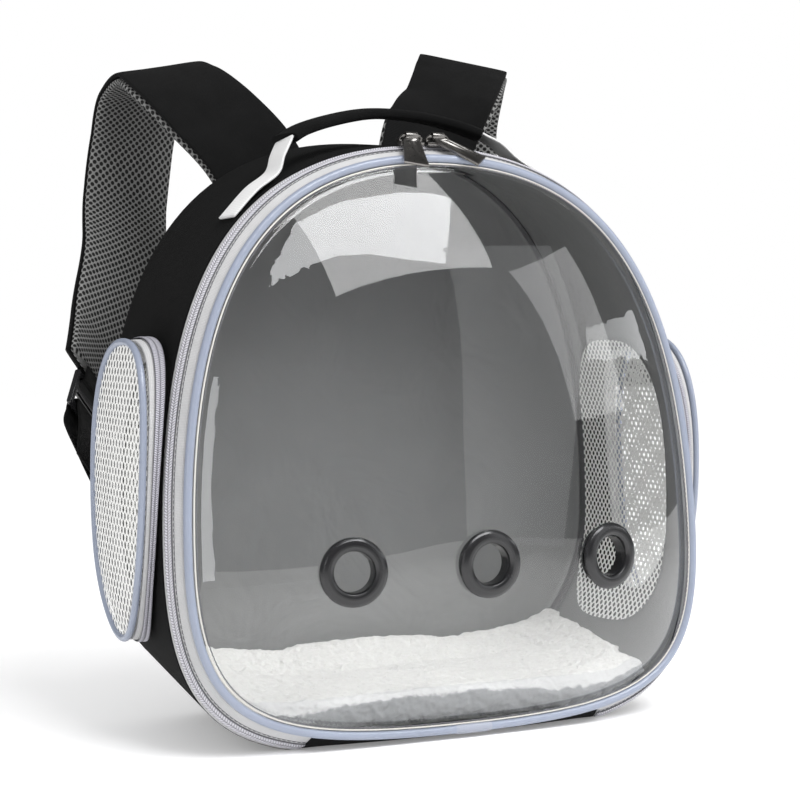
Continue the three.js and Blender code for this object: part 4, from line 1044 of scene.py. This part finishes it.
# Shoulder straps: black cloth outside and thick grey air mesh inside, sewn into the top of the back. Each
# runs over its crest and down to the ladder lock. A station gives a place and how the width is turned.
STRAP_WIDTH, STRAP_COVER, STRAP_MESH = 0.065, 0.0035, 0.006
SPREAD, REACH, PEAK = 0.175, 0.105, 0.430
STRAP_ROUTES = {
    "left": [
        (0.297, 0.051, 0.716, 0, 0),
        (0.32, 0.067, 0.779, 0, -6),
        (0.389, 0.162, 0.849, 2, -20),
        (0.491, 0.352, 0.912, 4, -24),
        (0.583, 0.6, 0.965, 6, -16),
        (0.617, 0.81, 0.984, 9, -11),
        (0.646, 1, 0.953, 12, -12),
        (0.669, 1.067, 0.879, 16, -11),
        (0.709, 1.019, 0.786, 20, -8),
        (0.743, 0.905, 0.712, 24, -8),
        (0.817, 0.762, 0.635, 34, -6),
        (0.903, 0.571, 0.558, 40, -4),
        (0.971, 0.429, 0.505, 45, 0),
    ],
    "right": [
        (0.286, 0.051, 0.716, 0, 0),
        (0.309, 0.074, 0.786, -3, 0),
        (0.406, 0.235, 0.893, -6, -6),
        (0.543, 0.381, 0.956, -22, -7),
        (0.646, 0.571, 1, -20, 3),
        (0.714, 0.733, 1.019, -20, 12),
        (0.766, 0.943, 0.993, -24, 12),
        (0.766, 1.048, 0.919, -27, 8),
        (0.777, 1.029, 0.814, -26, 6),
        (0.789, 0.914, 0.712, -27, 6),
        (0.834, 0.762, 0.635, -34, 5),
        (0.903, 0.571, 0.558, -40, 3),
        (0.971, 0.429, 0.505, -45, 0),
    ],
}


def curve_through(points):
    """A centripetal Catmull-Rom curve. It gives the place and the direction at a share of its knots."""
    ends = [points[0] * 2 - points[1], *points, points[-1] * 2 - points[-2]]

    def at(share):
        spot = min(max(share, 0), 1) * (len(points) - 1)
        first = min(int(spot), len(points) - 2)
        t = spot - first
        p0, p1, p2, p3 = ends[first : first + 4]
        d0, d1, d2 = ((b - a).length ** 0.5 for a, b in ((p0, p1), (p1, p2), (p2, p3)))
        m1 = ((p1 - p0) / d0 - (p2 - p0) / (d0 + d1) + (p2 - p1) / d1) * d1
        m2 = ((p2 - p1) / d1 - (p3 - p1) / (d1 + d2) + (p3 - p2) / d2) * d1
        c2, c3 = (p2 - p1) * 3 - m1 * 2 - m2, (p1 - p2) * 2 + m1 + m2
        return p1 + m1 * t + c2 * t * t + c3 * t**3, (m1 + c2 * 2 * t + c3 * 3 * t * t).normalized()

    return at


def ribbon(name, stations, low, high, steps, edge, around=28):
    """A band of cloth through stations of (place, across, width), between two heights over its route."""
    route = curve_through([place for place, _, _ in stations])
    samples = [route(k / 200)[0] for k in range(201)]
    length = sum((b - a).length for a, b in zip(samples, samples[1:]))
    width = stations[0][2]
    turns = np.linspace(0, 2 * math.pi, 721)
    round_way = np.column_stack([np.cos(turns), np.sin(turns)])
    section = np.sign(round_way) * np.abs(round_way) ** edge * (width / 2, (high - low) / 2)
    girth = np.concatenate([[0], np.cumsum(np.linalg.norm(np.diff(section, axis=0), axis=1))])

    def place(u, v):
        spot, along = route(u)
        scaled = min(u, 0.999999) * (len(stations) - 1)
        k = int(scaled)
        across = stations[k][1].lerp(stations[k + 1][1], scaled - k)
        across = (across - along * across.dot(along)).normalized()
        normal = along.cross(across)
        half = (stations[k][2] + (stations[k + 1][2] - stations[k][2]) * (scaled - k)) / 2
        angle = v * 2 * math.pi
        bend = [math.copysign(abs(c) ** edge, c) for c in (math.cos(angle), math.sin(angle))]
        lift = (low + high) / 2 + (high - low) / 2 * bend[1]
        return spot + across * (half * bend[0]) + normal * lift

    made = bent_sheet(name, steps, around, place, (length, 1), closed=True)
    for corner in made.data.uv_layers.active.data:
        corner.uv[1] = np.interp(corner.uv[1] * 2 * math.pi, turns, girth)
    cap_ends(made)
    faces_out(made)
    return made


def cap_ends(piece):
    """Fills the open ends of a band."""
    bpy.ops.object.select_all(action="DESELECT")
    bpy.context.view_layer.objects.active = piece
    piece.select_set(True)
    bpy.ops.object.mode_set(mode="EDIT")
    bpy.ops.mesh.select_mode(type="EDGE")
    bpy.ops.mesh.select_all(action="DESELECT")
    bpy.ops.mesh.select_non_manifold()
    bpy.ops.mesh.edge_face_add()
    bpy.ops.mesh.select_mode(type="VERT")
    bpy.ops.object.mode_set(mode="OBJECT")


strap_paint = woven("strap_twill", (0.001, 0.001, 0.001), (0.010, 0.010, 0.0103), 0.85, 0.0008, 0.6, 0.02)
grey_mesh = air_mesh("grey_air_mesh", (0.19, 0.19, 0.187), 0.27, 0.0046, 1.15)
MESH_PROUD = 0.0022
strap_split = (STRAP_COVER - STRAP_MESH) / 2
strap_ends = {}
for name, side in (("left", -1), ("right", 1)):
    stations = []
    for out, back, up, turn, drop in STRAP_ROUTES[name]:
        turned, dropped = math.radians(turn), math.radians(drop)
        place = Vector((side * out * SPREAD, BACK + back * REACH, up * PEAK))
        across = Vector((math.cos(turned), math.sin(turned), -math.sin(dropped)))
        stations.append((place, across, STRAP_WIDTH))
    cover = ribbon(
        f"strap_cloth_{name}", stations, strap_split - STRAP_COVER - 0.00015, strap_split - 0.00015, 141, 0.3
    )
    settle(cover, strap_paint, "carrier", "black_cloth", f"strap_cover_{name}")
    wider = [(place, across, width + MESH_PROUD) for place, across, width in stations]
    inside = ribbon(
        f"strap_air_mesh_{name}", wider, strap_split + 0.00015, strap_split + STRAP_MESH, 141, 0.45
    )
    settle(inside, grey_mesh, "carrier", "air_mesh", f"strap_mesh_{name}")
    before, last = stations[-2:]
    strap_ends[name] = (last[0], (last[0] - before[0]).normalized(), last[1])

# Handle: white webbing sewn to both shoulders of the cover, with a soft black grip over its middle.
HANDLE_WIDTH, HANDLE_WEBBING, GRIP, GRIP_WIDTH = 0.020, 0.0018, 0.007, 0.024
HANDLE_SPREAD, HANDLE_LOOP, HANDLE_BACK = 0.131, 0.0205, 0.020
HANDLE_ROUTE = [
    (-1, 0, 0.18),
    (-0.87, 0.04, 0.22),
    (-0.76, 0.08, 0.25),
    (-0.725, 0.16, 0.62),
    (-0.68, 0.3, 0.95),
    (-0.58, 0.5, 0.98),
    (-0.4, 0.75, 0.97),
    (-0.19, 0.95, 1),
    (0, 1, 0.95),
    (0.15, 0.95, 0.88),
    (0.29, 0.8, 0.78),
    (0.39, 0.6, 0.68),
    (0.46, 0.35, 0.52),
    (0.53, 0.15, 0.25),
    (0.63, 0.08, 0.12),
    (0.76, 0.04, 0.1),
    (0.9, 0, 0.1),
]
top_shares = np.linspace(0.5, 0.25, 200)
front_top = np.array([front_at(s) for s in top_shares])
back_top = np.array([back_at(s) for s in top_shares])


def top_height(x, y):
    """The cover's height at a place on its top."""
    front = rim_y(RIM["top"]) + DOOR_DEPTH
    depth = min(max((y - front) / (BACK - front), 0), 1)
    line = front_top + (back_top - front_top) * depth
    return float(np.interp(abs(x), line[:, 0], line[:, 1]))


handle_stations = []
for out, back, over in HANDLE_ROUTE:
    x = out * HANDLE_SPREAD
    y = rim_y(top_height(x, 0)) + DOOR_DEPTH + HANDLE_WIDTH / 2 + 0.001 + back * HANDLE_BACK
    tilt = top_height(x, y + HANDLE_WIDTH / 2) - top_height(x, y - HANDLE_WIDTH / 2)
    across = Vector((0, HANDLE_WIDTH, tilt)).normalized()
    handle_stations.append((Vector((x, y, top_height(x, y) + over * HANDLE_LOOP)), across, HANDLE_WIDTH))
GRIP_FROM, GRIP_TO = 4, 11
white_webbing = woven("white_webbing", (0.60, 0.60, 0.60), (0.88, 0.88, 0.88), 0.7, 0.0011, 0.6)
for name, part in (("left", handle_stations[: GRIP_FROM + 1]), ("right", handle_stations[GRIP_TO:])):
    tape = ribbon(f"handle_tape_{name}", part, -HANDLE_WEBBING / 2, HANDLE_WEBBING / 2, 61, 0.25, 16)
    settle(tape, white_webbing, "carrier", "white_webbing", f"handle_webbing_{name}")
grip_stations = [(place, across, GRIP_WIDTH) for place, across, _ in handle_stations[GRIP_FROM : GRIP_TO + 1]]
grip = ribbon("handle_grip_cover", grip_stations, -GRIP / 2, GRIP / 2, 101, 0.6, 32)
settle(grip, black_cloth, "carrier", "black_cloth", "handle_grip")

# Lower straps: black webbing sewn to the back, threaded up through a moulded ladder lock. A short loop
# of the same webbing ties the lock to the strap's end.
LOCK_HEIGHT, LOCK_BAR, LOCK_THICK = 0.027, 0.004, 0.0036
WEBBING_WIDTH, WEBBING_THICK = 0.028, 0.0016
GAP = 0.0003
black_webbing = woven("black_webbing", (0.002, 0.002, 0.002), (0.018, 0.018, 0.0185), 0.7, 0.0012, 0.7)
for name, side in (("left", -1), ("right", 1)):
    end, along, across = strap_ends[name]
    wide = (across - along * across.dot(along)).normalized()
    normal = along.cross(wide)

    def spot(down, out, end=end, along=along, normal=normal):
        return end + along * down + normal * out

    lock = rounded_copy(f"ladder_lock_{name}", f"lock_moulding_{name}", 0.0012)
    settle(lock, black_gloss, "carrier", "gloss_black", f"ladder_lock_{name}")
    lock_down = GAP * 2 + LOCK_THICK + WEBBING_THICK + LOCK_HEIGHT / 2
    turn_over = (LOCK_THICK + WEBBING_THICK) / 2 + GAP * 2.5
    bend = (LOCK_BAR + WEBBING_THICK) / 2 + GAP * 2.5
    upper = lock_down - LOCK_HEIGHT / 2 + LOCK_BAR / 2
    loop = [
        spot(GAP, turn_over), spot(upper - bend, turn_over), spot(upper, turn_over + 0.0004),
        spot(upper + bend, turn_over), spot(upper + bend + 0.0005, 0), spot(upper + bend, -turn_over),
        spot(upper, -turn_over - 0.0004), spot(upper - bend, -turn_over), spot(GAP, -turn_over),
    ]
    half_thick = WEBBING_THICK / 2
    loop_piece = ribbon(
        f"lock_loop_tape_{name}", [(p, wide, WEBBING_WIDTH) for p in loop],
        -half_thick, half_thick, 81, 0.25, 12,
    )
    settle(loop_piece, black_webbing, "carrier", "black_webbing", f"lock_loop_{name}")
    lower = lock_down + LOCK_HEIGHT / 2 - LOCK_BAR / 2
    sewn = Vector((side * 0.160, BACK + 0.0013, 0.112))
    rise = Vector((side * 0.166, BACK + 0.008, 0.146))
    route = [
        sewn, sewn + Vector((side * 0.002, 0.0003, 0.014)), rise, spot(lower + 0.014, -0.002),
        spot(lower + bend, -turn_over), spot(lower, -turn_over - 0.0004), spot(lower - bend, -turn_over),
        spot(lower - bend - 0.0005, 0), spot(lower - bend, turn_over), spot(lower, turn_over + 0.0006),
        spot(lower + 0.018, turn_over + 0.006), spot(lower + 0.040, turn_over + 0.010),
    ]
    flat = Vector((1, 0, 0))
    webbing = ribbon(
        f"lower_webbing_{name}",
        [(p, flat if k < 3 else wide, WEBBING_WIDTH) for k, p in enumerate(route)],
        -half_thick, half_thick, 161, 0.25, 12,
    )
    settle(webbing, black_webbing, "carrier", "black_webbing", f"strap_webbing_{name}")

# Sliders and pulls: die-cast and plated dark nickel, with rounded edges. The door's tabs are sunk inside
# a border, fully on one face and partly on the other.
dark_nickel, nickel_tree, nickel_shader = new_material("dark_nickel", (0.22, 0.21, 0.20), 0.25, 1.0)
nickel_place = node(nickel_tree, "ShaderNodeTexCoord").outputs["Object"]
nickel_noise = node(nickel_tree, "ShaderNodeTexNoise", {"Vector": nickel_place, "Scale": 500, "Detail": 4})
nickel_range = node(nickel_tree, "ShaderNodeMapRange", {0: nickel_noise.outputs["Fac"], 3: 0.2, 4: 0.4})
nickel_tree.links.new(nickel_range.outputs[0], nickel_shader.inputs["Roughness"])


def sink_panels(piece, border, depth):
    """Sinks the faces that lie level on each broad side of a piece, inside a border."""
    largest = max(piece.data.polygons, key=lambda face: face.area)
    for out in (largest.normal.copy(), -largest.normal):
        faces = piece.data.polygons
        flat = [face for face in faces if face.normal.dot(out) > 0.999]
        level = max(face.center.dot(out) for face in flat if face.area > 1e-5)
        for face in faces:
            face.select = face in flat and abs(face.center.dot(out) - level) < 1e-5
        bpy.ops.object.mode_set(mode="EDIT")
        bpy.ops.mesh.select_mode(type="FACE")
        bpy.ops.mesh.inset(thickness=border)
        bpy.ops.mesh.inset(thickness=depth / 2)
        bpy.ops.transform.translate(value=out * -depth)
        bpy.ops.mesh.select_mode(type="VERT")
        bpy.ops.object.mode_set(mode="OBJECT")


for kind, rounding in (
    ("door_slider", 0.0004), ("door_pull", 0.00035), ("pocket_slider", 0.0003), ("pocket_pull", 0.0002),
):
    for name in ("left", "right"):
        metal = rounded_copy(f"{kind}_{name}", f"{kind}_casting_{name}", rounding)
        if kind == "door_pull":
            sink_panels(metal, 0.0014, 0.0004)
        body = f"{kind}_{name}" if kind.endswith("pull") else "carrier"
        settle(metal, dark_nickel, body, "dark_metal", f"{kind}_{name}")
